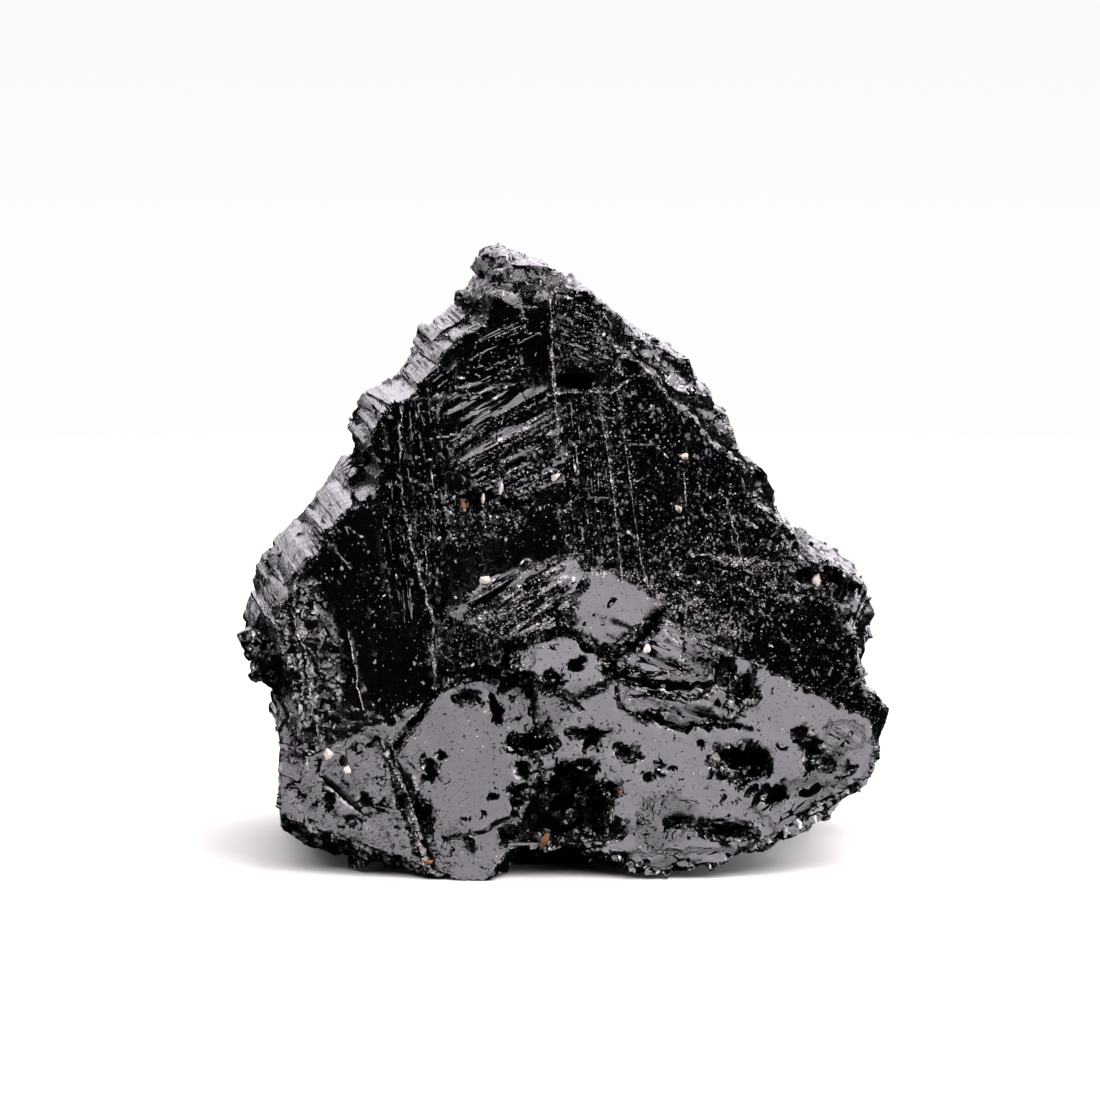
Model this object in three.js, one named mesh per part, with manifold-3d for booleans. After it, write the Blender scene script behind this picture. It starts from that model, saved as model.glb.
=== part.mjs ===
// A broken hand piece of black tourmaline (schorl), built as a three.js scene graph.
// Millimetres, +Z up. The broken front looks towards -Y, and the crystals run back from it along
// their long axis. The origin is the middle of the small flat that the piece rests on.
import * as THREE from "three";
import { ConvexGeometry } from "three/addons/geometries/ConvexGeometry.js";
import { mergeVertices } from "three/addons/utils/BufferGeometryUtils.js";
import Module from "manifold-3d";

const wasm = await Module();
wasm.setup();

// ---- Driving dimensions -------------------------------------------------------------------------
const FRONT_Y = -13; // foremost edge of the foot
const SLAB_BACK_Y = 9; // where the front slab of crystals ends
const OUTLINE_Y = -3; // depth at which the front outlines are drawn
const BACK_OUTLINE_Y = 10; // depth at which the back outline is drawn
const BACK_Y = 20; // how far the longest columns of the back reach
const COLUMN_OVERLAP = 0.15; // how far neighbouring columns are grown into each other
const AXIS_LEAN = -0.15; // sideways travel of the crystals' long axis for each millimetre back
const STRIA_PITCH = 0.95; // spacing of the growth steps along a prism's outline
const STRIA_DEPTH = 0.18; // how far each growth step stands in
const FOOT_SPLIT_X = -0.6; // where the left block of the foot meets the right one
const EDGE_INSET = 0.6; // how far a small crystal on an edge sits inside the outline, as a share of its size
const REACH = 140; // size of the blocks that cut on a plane, larger than the piece

// The dark front wall is a shallow trough: two planes that meet on a nearly upright line and lean back.
const WALL = { x: -0.4, y: -2.2, z: 17, lean: 0.1, leftSlope: 0.2, rightSlope: 0.14 };

// The slanting break that narrows the crystals at the lower left: a point on it and its normal.
const LOWER_LEFT = [[-22.9, -8, 8], [-1, -0.03, -0.4]];

// The two bright broken planes of the foot: a low point on each, how far it leans back and how
// far it is turned.
const FOOT_LEFT = { point: [0, FRONT_Y, 0.5], tilt: 32, turn: -2 };
const FOOT_RIGHT = { point: [0, FRONT_Y, 0], tilt: 26.5, turn: 2 };

// The roof of the raised block in the middle of the foot, and the number of growth ridges across it.
const ROOF = { point: [-9.4, -6.0, 20.4], tilt: 28.7, turn: 6 };
const ROOF_RIDGES = 6;

// Thin layers that lie over each other to the right of that block: how far each stands out, and
// its edge as [x, z].
const LAYERS = [
  {
    out: 0.16,
    edge: [[4.4, 12.9], [8.2, 11.4], [13.4, 11.6], [14.6, 13.2], [12.4, 17.6], [8.2, 19.4], [4, 16]],
  },
  { out: 0.3, edge: [[3.8, 15.2], [7.4, 13.8], [11.0, 13.5], [12.6, 14.8], [11.6, 17.4], [8.2, 19.2]] },
  { out: 0.44, edge: [[4.3, 16.2], [6.8, 15.3], [9.2, 15.6], [9.6, 17.4], [7.9, 18.8]] },
];

// ---- Outlines, as [x, z] ------------------------------------------------------------------------
// Left edge of the front slab, from the apex down: each bay is one crystal's rounded side.
const SLAB_LEFT = [
  [-1.4, 46.0], [-3.6, 45.9], [-4.8, 45.7], [-5.4, 44.9], [-5.9, 43.7], [-7.0, 42.7], [-8.2, 41.9],
  [-9.5, 41.1], [-10.3, 39.9], [-11.6, 38.5], [-12.6, 37.3], [-13.7, 36.8], [-14.8, 36.1],
  [-15.7, 35.0], [-16.0, 33.5], [-14.9, 31.8], [-15.1, 30.0], [-16.5, 29.0], [-17.7, 28.6],
  [-18.6, 27.8], [-19.6, 26.7], [-20.1, 25.2], [-21.1, 24.7], [-22.2, 23.3], [-23.1, 21.8],
  [-23.8, 20.5], [-23.7, 17.7], [-22.7, 15.3], [-22.1, 12.8], [-22.7, 9.1],
];
const SLAB_BASE = [[-21.5, 4], [-8, 2], [12, 3], [24, 8]];
const SLAB_RIGHT = [
  [25.8, 12.7], [24.3, 13.8], [23.6, 15.4], [23.0, 17.9], [22.6, 20.2], [21.3, 22.6], [20.1, 24.4],
  [18.1, 26.9], [17.0, 28.0], [14.8, 29.3], [14.1, 32.1], [11.9, 33.9], [10.9, 35.5], [8.7, 37.1],
  [8.0, 38.9], [6.0, 40.2], [4.2, 41.3], [4.1, 43.0], [3.4, 44.0], [2.6, 45.5], [0.8, 45.6],
];
// The back mass, from its apex round by the left side, the base and the ragged right side.
const BACK_OUTLINE = [
  [-5.3, 47.6], [-7.0, 46.6], [-7.6, 44.9], [-9.3, 43.0], [-11.6, 41.2], [-12.9, 38.2], [-15.2, 35.6],
  [-17.4, 33.6], [-17.2, 31.6], [-18.8, 28.8], [-21.2, 26.2], [-23.8, 23.4], [-25.5, 21.6],
  [-25.9, 18.8], [-26.8, 15.6], [-25.2, 12.4], [-23.2, 10.6], [-22.0, 8.0], [-20.8, 5.6], [-17.6, 1.8],
  [-13.0, -0.5], [10.0, -0.5], [15.5, 1.0], [19.6, 3.4], [23.8, 5.4], [25.2, 7.4], [24.8, 11.2],
  [23.6, 14.0], [23.8, 16.6], [24.5, 18.6], [24.0, 20.0], [22.2, 20.9], [20.0, 22.8], [17.2, 25.8],
  [16.4, 27.2], [16.5, 28.8], [15.7, 30.2], [14.0, 31.2], [13.0, 33.0], [12.3, 35.1], [10.4, 37.2],
  [9.2, 39.6], [7.4, 40.4], [5.2, 41.4], [3.8, 42.8], [2.2, 44.0], [0.6, 45.1], [-1.4, 46.6],
  [-3.4, 47.4],
];
// The foot, from its upper left corner round by the underside to its upper right corner, then along
// its hidden top.
const FOOT_OUTLINE = [
  [-22.4, 10.8], [-22.9, 6.8], [-23.2, 4.7], [-22.0, 2.9], [-20.4, 1.9], [-17.6, 1.0], [-11.6, 0.3],
  [-8.4, -0.5], [3.0, -0.5], [6.0, 0.3], [10.8, 0.9], [15.8, 2.1], [18.2, 2.8], [19.7, 3.5],
  [21.5, 4.5], [22.3, 5.6], [23.0, 6.1], [24.3, 7.0], [25.3, 9.0], [25.5, 12.0], [25.4, 13.8],
  [12.0, 22], [0, 23], [-9.0, 19], [-18.0, 16],
];

// ---- Small tools --------------------------------------------------------------------------------
/** A seeded random source, so that every build is the same. */
function seeded(seed) {
  let state = seed >>> 0;
  return () => {
    state = (state + 0x6d2b79f5) >>> 0;
    let t = Math.imul(state ^ (state >>> 15), 1 | state);
    t = (t + Math.imul(t ^ (t >>> 7), 61 | t)) ^ t;
    return ((t ^ (t >>> 14)) >>> 0) / 4294967296;
  };
}

/** A closed three.js geometry as a solid that can be joined and cut. */
function solid(geometry) {
  const bare = new THREE.BufferGeometry().setAttribute("position", geometry.getAttribute("position"));
  if (geometry.index) bare.setIndex(geometry.index);
  const merged = mergeVertices(bare, 1e-4);
  return new wasm.Manifold(
    new wasm.Mesh({
      numProp: 3,
      vertProperties: new Float32Array(merged.attributes.position.array),
      triVerts: new Uint32Array(merged.index.array),
    }),
  );
}

/** A solid back as a geometry with flat faces. */
function geometryOf(body) {
  const mesh = body.getMesh();
  const geometry = new THREE.BufferGeometry();
  geometry.setAttribute("position", new THREE.BufferAttribute(new Float32Array(mesh.vertProperties), 3));
  geometry.setIndex(new THREE.BufferAttribute(new Uint32Array(mesh.triVerts), 1));
  const flat = geometry.toNonIndexed();
  flat.computeVertexNormals();
  return flat;
}

/** Joins a list of solids into one. */
const joined = (bodies) => bodies.reduce((all, body) => all.add(body));

/** Cuts a list of hollows out of a solid. */
const hollowed = (body, hollows) => hollows.reduce((rest, hollow) => rest.subtract(hollow), body);

/** A flat-faced crystal or chip: the hull of its corner points. */
const crystal = (corners) => solid(new ConvexGeometry(corners.map((c) => new THREE.Vector3(...c))));

/** Everything on the outer side of a plane, as a block that is larger than the piece. */
function beyond(point, normal) {
  const block = new THREE.BoxGeometry(REACH, REACH, REACH);
  block.translate(0, 0, REACH / 2);
  const up = new THREE.Vector3(0, 0, 1);
  const outward = new THREE.Vector3(...normal).normalize();
  block.applyQuaternion(new THREE.Quaternion().setFromUnitVectors(up, outward));
  block.translate(...point);
  return solid(block);
}

/** Outward normal of a forward plane that leans back by tilt and is turned about the upright, in degrees. */
function lookingForward({ tilt, turn }) {
  const [t, a] = [THREE.MathUtils.degToRad(tilt), THREE.MathUtils.degToRad(turn)];
  return [Math.sin(a) * Math.cos(t), -Math.cos(a) * Math.cos(t), Math.sin(t)];
}

/** Adds growth steps to an open outline: points at uneven spacing, every other one standing in. */
function striated(outline, seed, depth = STRIA_DEPTH) {
  const random = seeded(seed);
  const stepped = [outline[0]];
  let inward = false;
  for (let i = 1; i < outline.length; i += 1) {
    const [start, end] = [outline[i - 1], outline[i]];
    const [dx, dz] = [end[0] - start[0], end[1] - start[1]];
    const length = Math.hypot(dx, dz);
    let gone = STRIA_PITCH * (0.4 + random());
    while (gone < length - 0.3 * STRIA_PITCH) {
      inward = !inward;
      const step = inward ? depth * (0.5 + random()) : 0;
      const x = start[0] + (dx * gone - dz * step) / length;
      const z = start[1] + (dz * gone + dx * step) / length;
      stepped.push([x, z]);
      gone += STRIA_PITCH * (0.4 + 1.2 * random());
    }
    stepped.push(end);
  }
  return stepped;
}

/** A prism with its section drawn in the front view and its sides along the crystals' leaning axis. */
function prism(outline, fromY, toY, drawnAtY) {
  const shape = new THREE.Shape(outline.map(([x, z]) => new THREE.Vector2(x, z)));
  const geometry = new THREE.ExtrudeGeometry(shape, { depth: toY - fromY, bevelEnabled: false });
  geometry.rotateX(Math.PI / 2);
  geometry.translate(0, toY, 0);
  const shear = new THREE.Matrix4().set(
    1, AXIS_LEAN, 0, -AXIS_LEAN * drawnAtY,
    0, 1, 0, 0,
    0, 0, 1, 0,
    0, 0, 0, 1,
  );
  return solid(geometry.applyMatrix4(shear));
}

/** A rough angular lump: a ball of flat faces with its corners pulled in and out. */
function lump([x, y, z], [rx, ry, rz], seed, detail = 1) {
  const geometry = new THREE.IcosahedronGeometry(1, detail);
  const place = geometry.getAttribute("position");
  const pulls = new Map();
  const random = seeded(seed);
  for (let i = 0; i < place.count; i += 1) {
    const corner = new THREE.Vector3().fromBufferAttribute(place, i);
    const key = corner.toArray().map((v) => v.toFixed(3)).join();
    if (!pulls.has(key)) pulls.set(key, 0.78 + 0.44 * random());
    corner.multiplyScalar(pulls.get(key)).multiply(new THREE.Vector3(rx, ry, rz));
    place.setXYZ(i, corner.x + x, corner.y + y, corner.z + z);
  }
  return solid(geometry);
}

/** A straight many-sided bar between two points, thinner at its far end by the taper. */
function bar(from, to, radius, sides = 6, taper = 0.85) {
  const [start, end] = [new THREE.Vector3(...from), new THREE.Vector3(...to)];
  const along = end.clone().sub(start);
  const geometry = new THREE.CylinderGeometry(radius * taper, radius, along.length(), sides);
  const up = new THREE.Vector3(0, 1, 0);
  geometry.applyQuaternion(new THREE.Quaternion().setFromUnitVectors(up, along.normalize()));
  const middle = start.add(end).multiplyScalar(0.5);
  geometry.translate(middle.x, middle.y, middle.z);
  return solid(geometry);
}

// ---- Places on the broken faces -----------------------------------------------------------------
/** Depth of the dark wall at a place in the front view. */
function wallY(x, z) {
  const slope = x < WALL.x ? WALL.leftSlope : -WALL.rightSlope;
  return WALL.y + WALL.lean * (z - WALL.z) + slope * (x - WALL.x);
}

/** A point on the dark wall, standing out towards the front by the given amount. */
const onWall = (x, z, out = 0) => [x, wallY(x, z) - out, z];

/** A point on one of the foot's planes, standing out towards the front by the given amount. */
function onFoot(plane, x, z, out = 0) {
  const [nx, ny, nz] = lookingForward(plane);
  const [px, py, pz] = plane.point;
  return [x, py - (nx * (x - px) + nz * (z - pz)) / ny - out, z];
}

/** A stepped growth ridge: a bright tread that leans back above a dark riser that is cut under. */
function terrace(start, end, drop, out) {
  const atEnd = 0.7;
  const section = ([x, y, z], scale) => [
    [x, y + 0.3, z + 0.1],
    [x, y - out * scale, z - drop * scale],
    [x, y + 0.3, z - drop * scale * 1.3],
  ];
  return crystal([...section(start, 1), ...section(end, atEnd)]);
}

// ---- The main masses ----------------------------------------------------------------------------
/** The wedge of space in front of the dark wall: what lies before both of its planes. */
function spaceBeforeWall() {
  const { x, y, z, lean, leftSlope, rightSlope } = WALL;
  const left = beyond([x, y, z], [leftSlope, -1, lean]);
  const right = beyond([x, y, z], [-rightSlope, -1, lean]);
  return left.intersect(right);
}

/** The tall slab that carries the wall, with the striated prism side on its left. */
function frontSlab() {
  const outline = [...striated(SLAB_LEFT, 11), ...SLAB_BASE, ...striated(SLAB_RIGHT, 12)];
  const bounded = hollowed(prism(outline, FRONT_Y, SLAB_BACK_Y, OUTLINE_Y), [beyond(...LOWER_LEFT)]);
  return bounded.subtract(spaceBeforeWall());
}

// The columns that make up the back, as the middle of each and how far back it reaches: [x, z, end].
const COLUMNS = [
  [-20, 9, 14.5], [-12, 6, 18.0], [-3, 8, 20.0], [7, 5, 16.5], [14, 10, 18.2], [22, 11, 13.6],
  [-21, 17, 12.4], [-13, 15, 16.2], [-6, 18, 17.4], [3, 15, 19.2], [10, 19, 15.2], [18, 19, 14.6],
  [-17, 24, 13.8], [-9, 26, 17.4], [0, 25, 15.6], [8, 28, 17.2], [-13, 34, 12.6], [-5, 34, 15.8],
  [4, 35, 13.4], [11, 34, 11.8], [-4, 43, 12.4],
].map(([x, z, end]) => ({ x, z, end }));

/** One column of the back: its share of the outline, ending in a slanting break. */
function column(own, outlinePrism, random) {
  const neighbours = COLUMNS.filter((c) => c !== own && Math.hypot(c.x - own.x, c.z - own.z) < 16);
  const sides = neighbours.map((c) => {
    const [dx, dz] = [c.x - own.x, c.z - own.z];
    const reach = 0.5 + COLUMN_OVERLAP / Math.hypot(dx, dz);
    return beyond([own.x + dx * reach, BACK_OUTLINE_Y, own.z + dz * reach], [dx, -AXIS_LEAN * dx, dz]);
  });
  const slant = [0.6 * (random() - 0.5), 1, 0.5 * (random() - 0.4)];
  return hollowed(outlinePrism, [...sides, beyond([own.x, own.end, own.z], slant)]);
}

/** The bundle of columns behind the slab, with the corners of the bundle broken away. */
function backColumns() {
  const random = seeded(77);
  const outline = prism(striated(BACK_OUTLINE, 21), SLAB_BACK_Y - 5, BACK_Y + 4, BACK_OUTLINE_Y);
  const bundle = joined(COLUMNS.map((own) => column(own, outline, random)));
  return hollowed(bundle, [
    beyond([-4, 12, 45.5], [0.1, 0.7, 0.7]),
    beyond([-25.5, 11, 16], [-0.8, 0.6, -0.1]),
    beyond(...LOWER_LEFT),
    beyond([25.2, 11, 14], [0.75, 0.66, 0.12]),
    beyond([2, 17.5, 2], [0.1, 0.6, -0.8]),
  ]);
}

/** The foot: a left and a right block, each broken on its own bright slanting plane. */
function foot() {
  const block = prism(striated(FOOT_OUTLINE, 31), FRONT_Y - 3, SLAB_BACK_Y, -10);
  const left = hollowed(block, [
    beyond([FOOT_SPLIT_X + 0.3, 0, 0], [1, 0, 0.12]),
    beyond(FOOT_LEFT.point, lookingForward(FOOT_LEFT)),
    beyond([-14.2, -11.4, 1.6], [-0.35, -0.75, -0.55]),
    beyond([-22.9, -8, 8], [-1, -0.03, 0]),
  ]);
  const right = hollowed(block, [
    beyond([FOOT_SPLIT_X - 0.3, 0, 0], [-1, 0, -0.12]),
    beyond(FOOT_RIGHT.point, lookingForward(FOOT_RIGHT)),
    beyond([16.6, -11.2, 4.1], [0.49, -0.81, -0.42]),
  ]);
  return left.add(right);
}

// ---- The raised block on the foot ---------------------------------------------------------------
/** The roof-shaped block standing out of the middle of the foot, with its steep dark end on the left. */
function roofBlock() {
  const onRoof = (x, z, out = 0) => onFoot(ROOF, x, z, out);
  const roof = crystal([
    onRoof(-9.4, 20.4), onRoof(-7.0, 21.8), onRoof(-2.8, 23.6), onRoof(0.9, 24.6), onRoof(1.8, 23.2),
    onRoof(-0.6, 19.6), onRoof(-4.4, 18.4), onRoof(-6.2, 19.2),
    [-6.8, -4.6, 14.9], [-10.6, -4.0, 14.9], [-9.4, 0, 20], [0.8, 0, 24.2], [-9, 0, 14.5], [1.5, 0, 18],
  ]);
  const lowerFace = crystal([
    onRoof(-5.2, 18.3, -1.9), onRoof(-2.6, 19.2, -1.9), onRoof(2.2, 17.6, -1.9), onRoof(3.6, 14.8, -2.0),
    onRoof(1.0, 13.4, -2.1), onRoof(-2.3, 15.0, -2.0), [-6, -4.0, 15], [-5, 0, 18], [3, 0, 16], [0, 0, 14],
  ]);
  const onRight = (x, z, out) => onFoot(FOOT_RIGHT, x, z, out);
  const smoothSlab = crystal([
    onRight(1.8, 23.3, 0.9), onRight(4.4, 22.9, 0.9), onRight(7.3, 21.6, 0.8), onRight(8.2, 20.5, 0.7),
    onRight(3.9, 16.4, 0.8), onRight(-0.2, 19.4, 1.0),
    [1.4, 2, 23.2], [7.4, 2, 21.4], [4.4, 2, 17.4], [0, 2, 19.4],
  ]);
  const layers = LAYERS.map(({ out, edge }) =>
    crystal([...edge.map(([x, z]) => onRight(x, z, out)), [6, 0, 14], [11, 0, 14], [8, 0, 17]]),
  );
  return joined([roof, lowerFace, smoothSlab, ...layers]);
}

/** Growth ridges across the roof of the raised block, from its lower left to its upper right. */
function roofRidges() {
  return Array.from({ length: ROOF_RIDGES }, (_, k) => {
    const start = onFoot(ROOF, -7.9 + 0.85 * k, 20.6 - 0.33 * k, 0.1);
    const end = onFoot(ROOF, -0.2 + 0.22 * k, 24.0 - 0.75 * k, 0.1);
    return terrace(start, end, 0.5, 0.42);
  });
}

// ---- Relief on the dark wall --------------------------------------------------------------------
/** The set of stepped ridges in the middle of the wall, climbing to the right. */
function wallRidges() {
  const random = seeded(52);
  const set = Array.from({ length: 9 }, (_, k) => {
    const [early, late] = [1.6 * random(), 1.8 * random()]; // how far each end is broken short
    const start = onWall(-8.8 + 0.5 * k + early, 31.7 - 0.3 * k + 0.5 * early);
    const end = onWall(-0.4 + 0.16 * k - late, 35.6 - 0.56 * k - 0.5 * late);
    return terrace(start, end, 0.3 + 0.25 * random(), 0.3 + 0.25 * random());
  });
  return [...set, terrace(onWall(-9.2, 33.6), onWall(-2.4, 37.0), 0.55, 0.6)];
}

/** Fainter ridges on the upper wall: climbing right on the left half, falling right on the right half. */
function upperRidges() {
  const random = seeded(53);
  const left = Array.from({ length: 9 }, (_, k) => {
    const [early, late] = [2.0 * random(), 2.2 * random()];
    const start = onWall(-9.4 + 0.6 * k + early, 37.3 + 0.78 * k + 0.42 * early);
    const end = onWall(-1.7 - late, 39.3 + 0.68 * k - 0.42 * late);
    return terrace(start, end, 0.2 + 0.2 * random(), 0.16 + 0.14 * random());
  });
  const right = Array.from({ length: 7 }, (_, k) => {
    const late = 1.2 * random();
    const start = onWall(3.9 - 0.2 * k - late, 40.3 + 0.6 * k + 0.36 * late);
    return terrace(start, onWall(0.2, 41.6 + 0.6 * k), 0.2 + 0.15 * random(), 0.16 + 0.1 * random());
  });
  return [...left, ...right];
}

/** Upright ribs: the run on the left of the wall, the spine below the apex and a few single ones. */
function uprightRibs() {
  const random = seeded(54);
  const run = Array.from({ length: 10 }, (_, k) => ({
    top: [-14.7 + 0.5 * k + 0.2 * random(), 37.4 - 5 * random() ** 2],
    foot: [-13.7 + 0.4 * k + 0.3 * random(), 18.5 + 7 * random()],
    radius: 0.2 + 0.22 * random(),
  }));
  const others = [
    { top: [-1.0, 45.4], foot: [-0.9, 36.2], radius: 0.5 },
    { top: [2.9, 37.0], foot: [4.6, 23.2], radius: 0.22 },
    { top: [-12.1, 24.6], foot: [-10.6, 14.2], radius: 0.4 },
    { top: [4.6, 36.6], foot: [6.6, 24.6], radius: 0.2 },
  ];
  return [...run, ...others].map((rib) =>
    bar(onWall(...rib.foot, -0.08), onWall(...rib.top, -0.08), rib.radius, 5, 0.7),
  );
}

// ---- Hollows ------------------------------------------------------------------------------------
/** The square-ended slot near the top of the wall. */
function wallSlot() {
  const [left, right, top, bottom] = [-0.6, 2.3, 38.9, 37.7];
  const depth = 3;
  return crystal([
    onWall(left, top, 1), onWall(right, top, 1), onWall(right, bottom, 1), onWall(left, bottom, 1),
    onWall(left + 0.3, top - 0.1, -depth), onWall(right - 0.4, top - 0.2, -depth),
    onWall(right - 0.4, bottom + 0.2, -depth), onWall(left + 0.3, bottom + 0.2, -depth),
  ]);
}

/** The deep cleft under the middle of the foot: it narrows to a point at its top and opens to the ground. */
function footCleft() {
  const onLeft = (x, z) => onFoot(FOOT_LEFT, x, z, 0.4);
  const onRight = (x, z) => onFoot(FOOT_RIGHT, x, z, 0.4);
  const upper = crystal([
    onLeft(-0.8, 9.5), onLeft(-2.2, 7.8), onLeft(-2.9, 5.6), onLeft(-4.2, 3.0), onRight(0.9, 8.3),
    onRight(2.6, 7.4), onRight(3.9, 5.6), onRight(3.4, 2.6),
    [-0.8, -4.8, 7.4], [-2.4, -4.8, 4.6], [2.4, -4.6, 5.4], [2.2, -5.2, 2.4], [-2.8, -5.4, 2.4],
  ]);
  const undercut = crystal([
    [-7.2, -15, -1], [-4.9, -15, 2.9], [3.4, -15, 2.7], [6.0, -15, 1.3], [7.8, -15, -1],
    [-4.8, -7.0, -1], [-3.4, -6.4, 1.6], [2.6, -6.2, 2.0], [5.6, -7.0, 0.7], [6.4, -7.2, -1],
  ]);
  return upper.add(undercut);
}

/** Broken-out pits, each a rough lump of the given half sizes. */
const PITS = [
  { at: [5.2, -0.5, 39.7], size: [1.1, 1.5, 0.8] }, // upper right of the wall
  { at: [-18.0, 3.2, 31.2], size: [1.5, 2.4, 1.9] }, // bay in the left side
  { at: [-7.2, -2.3, 28.7], size: [0.8, 1.2, 0.8] }, // three under the wall's ridges
  { at: [-4.9, -1.8, 28.6], size: [0.6, 0.9, 0.6] },
  { at: [-3.0, -1.4, 28.9], size: [0.6, 0.9, 0.6] },
  { at: [21.4, -4.6, 22.4], size: [1.1, 2.0, 1.5] }, // the dark gap beside the right knob
  { at: [19.4, -4.2, 23.0], size: [1.4, 1.4, 0.7] },
  { at: [-2.7, -8.1, 10.3], size: [2.4, 2.0, 1.0] }, // above the cleft
  { at: [1.0, -7.7, 10.9], size: [1.1, 0.9, 0.4] },
  { at: [14.0, -8.1, 8.7], size: [2.7, 2.6, 1.5] }, // the large one on the right
  { at: [12.9, -4.9, 15.6], size: [0.9, 1.4, 2.0] }, // star-shaped, two lumps
  { at: [14.6, -5.8, 13.5], size: [1.2, 1.1, 0.8] },
  { at: [18.9, -7.1, 10.6], size: [0.8, 0.9, 0.6] }, // the chain on the far right
  { at: [20.0, -7.6, 9.5], size: [0.7, 0.8, 0.6] },
  { at: [20.9, -8.1, 8.4], size: [0.8, 0.9, 0.7] },
  { at: [9.0, -10.7, 4.3], size: [1.3, 0.8, 0.4] }, // along the lower right edge
  { at: [12.9, -10.7, 3.5], size: [2.6, 1.2, 0.8] },
  { at: [-5.0, -5.5, 15.8], size: [0.9, 0.9, 0.9] }, // below the raised block
  { at: [-3.2, -6.2, 13.8], size: [0.8, 0.9, 0.7] },
  { at: [-8.1, -4.9, 13.2], size: [1.0, 0.9, 0.6] },
  { at: [5.2, -8.4, 9.2], size: [1.0, 0.8, 0.5] }, // single ones on the right plane
  { at: [7.6, -9.0, 8.0], size: [0.5, 0.6, 0.6] },
  { at: [-3.7, -9.2, 6.4], size: [0.9, 1.4, 0.7] }, // bites out of the cleft's edges
  { at: [-4.6, -10.6, 3.2], size: [1.0, 1.4, 0.8] },
  { at: [3.7, -9.6, 6.6], size: [0.9, 1.4, 0.6] },
  { at: [4.0, -11.0, 3.6], size: [0.8, 1.2, 0.9] },
];

/** Narrow cracks, each a bar along its line: the V over the layers and two on the left plane. */
const CRACKS = [
  { from: onFoot(FOOT_RIGHT, 3.9, 16.6, 0.6), to: onFoot(FOOT_RIGHT, 8.2, 20.4, 0.6), radius: 0.55 },
  { from: onFoot(FOOT_RIGHT, 3.9, 16.6, 0.8), to: onFoot(FOOT_RIGHT, -0.4, 18.9, 1.0), radius: 0.45 },
  { from: onFoot(FOOT_LEFT, -13.9, 9.2), to: onFoot(FOOT_LEFT, -10.6, 13.5), radius: 0.5 },
  { from: onFoot(FOOT_LEFT, -12.6, 7.6), to: onFoot(FOOT_LEFT, -10.6, 2.6), radius: 0.4 },
];

// ---- Small crystals -----------------------------------------------------------------------------
/** The rough cap on the apex. */
const CAP = [
  { at: [-5.4, 9.5, 46.6], size: [2.2, 2.4, 1.9] },
  { at: [-2.6, 9.0, 45.6], size: [1.9, 2.4, 1.5] },
  { at: [-0.4, 7.0, 45.0], size: [1.6, 2.0, 1.0] },
  { at: [-7.3, 8.0, 44.0], size: [1.6, 2.0, 1.6] },
];

/** Rough lumps left standing inside the cleft. */
const CLEFT_LUMPS = [
  { at: [-2.2, -7.4, 2.2], size: [1.3, 1.7, 0.9] },
  { at: [0.6, -7.3, 1.9], size: [1.9, 1.8, 1.0] },
  { at: [3.6, -9.4, 1.7], size: [2.2, 2.8, 0.9] },
  { at: [6.0, -10.2, 1.1], size: [1.6, 2.2, 0.6] },
  { at: [-1.4, -5.6, 5.4], size: [0.9, 1.4, 1.0] },
  { at: [1.7, -5.6, 5.8], size: [1.0, 1.5, 1.1] },
  { at: [0.2, -5.8, 3.8], size: [1.2, 1.4, 0.8] },
];

/** Lumps along the underside. */
const FOOT_LUMPS = [
  { at: [-7.0, -9.6, 1.9], size: [2.2, 2.0, 1.7] },
  { at: [-20.9, -2.4, 6.4], size: [1.8, 2.4, 2.4] },
  { at: [22.4, -2.0, 9.6], size: [2.2, 3.0, 2.2] },
];

/** Blades and knobs on the right-hand edge. */
function rightEdgeCrystals() {
  const sliver = crystal([
    [17.6, -3.0, 26.6], [18.4, -4.0, 25.2], [23.4, -4.6, 22.8], [24.4, -3.0, 21.9], [23.6, 0, 23.2],
    [18.6, 1, 26.6], [20, 1, 22], [18, 0, 23],
  ]);
  const knob = crystal([
    [22.9, -3.4, 23.2], [24.2, -1.6, 22.8], [24.7, 0, 21.0], [24.0, 0, 18.2], [22.8, -4.0, 18.0],
    [22.5, -4.6, 20.6], [21.8, 5, 21.5], [21, 5, 17.5],
  ]);
  return [sliver, knob];
}

/** Small crystals of many sizes that are grown into a stretch of outline, between two depths. */
function edgeCrystals({ outline, drawnAtY, fromY, toY, count, seed }) {
  const random = seeded(seed);
  return Array.from({ length: count }, (_, k) => {
    const along = random() * (outline.length - 1.001);
    const i = Math.floor(along);
    const share = along - i;
    const x = outline[i][0] * (1 - share) + outline[i + 1][0] * share;
    const z = outline[i][1] * (1 - share) + outline[i + 1][1] * share;
    const y = fromY + (toY - fromY) * random();
    const size = 0.7 + 1.5 * random() ** 2;
    const lean = AXIS_LEAN * (y - drawnAtY);
    const centre = [x - Math.sign(x) * EDGE_INSET * size + lean, y, z - 0.35 * size];
    return lump(centre, [size * (0.7 + 0.6 * random()), size * (1 + random()), size], seed + k, 0);
  });
}

// Stretches of edge that carry such crystals: down the right of the slab, and both sides of the back.
const EDGES = [
  { outline: SLAB_RIGHT, drawnAtY: OUTLINE_Y, fromY: 2.5, toY: 8, count: 24, seed: 300 },
  { outline: BACK_OUTLINE.slice(24, 49), drawnAtY: BACK_OUTLINE_Y, fromY: 6, toY: 11, count: 16, seed: 400 },
  { outline: BACK_OUTLINE.slice(10, 16), drawnAtY: BACK_OUTLINE_Y, fromY: 5, toY: 9, count: 10, seed: 500 },
];

const NEEDLES = [
  { from: [-14.3, -6.7, 10.2], to: [-11.7, -11.6, 1.9], radius: 0.3 },
  { from: [-19.5, -5.0, 7.6], to: [-16.4, -8.3, 5.2], radius: 0.3 },
];

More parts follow.
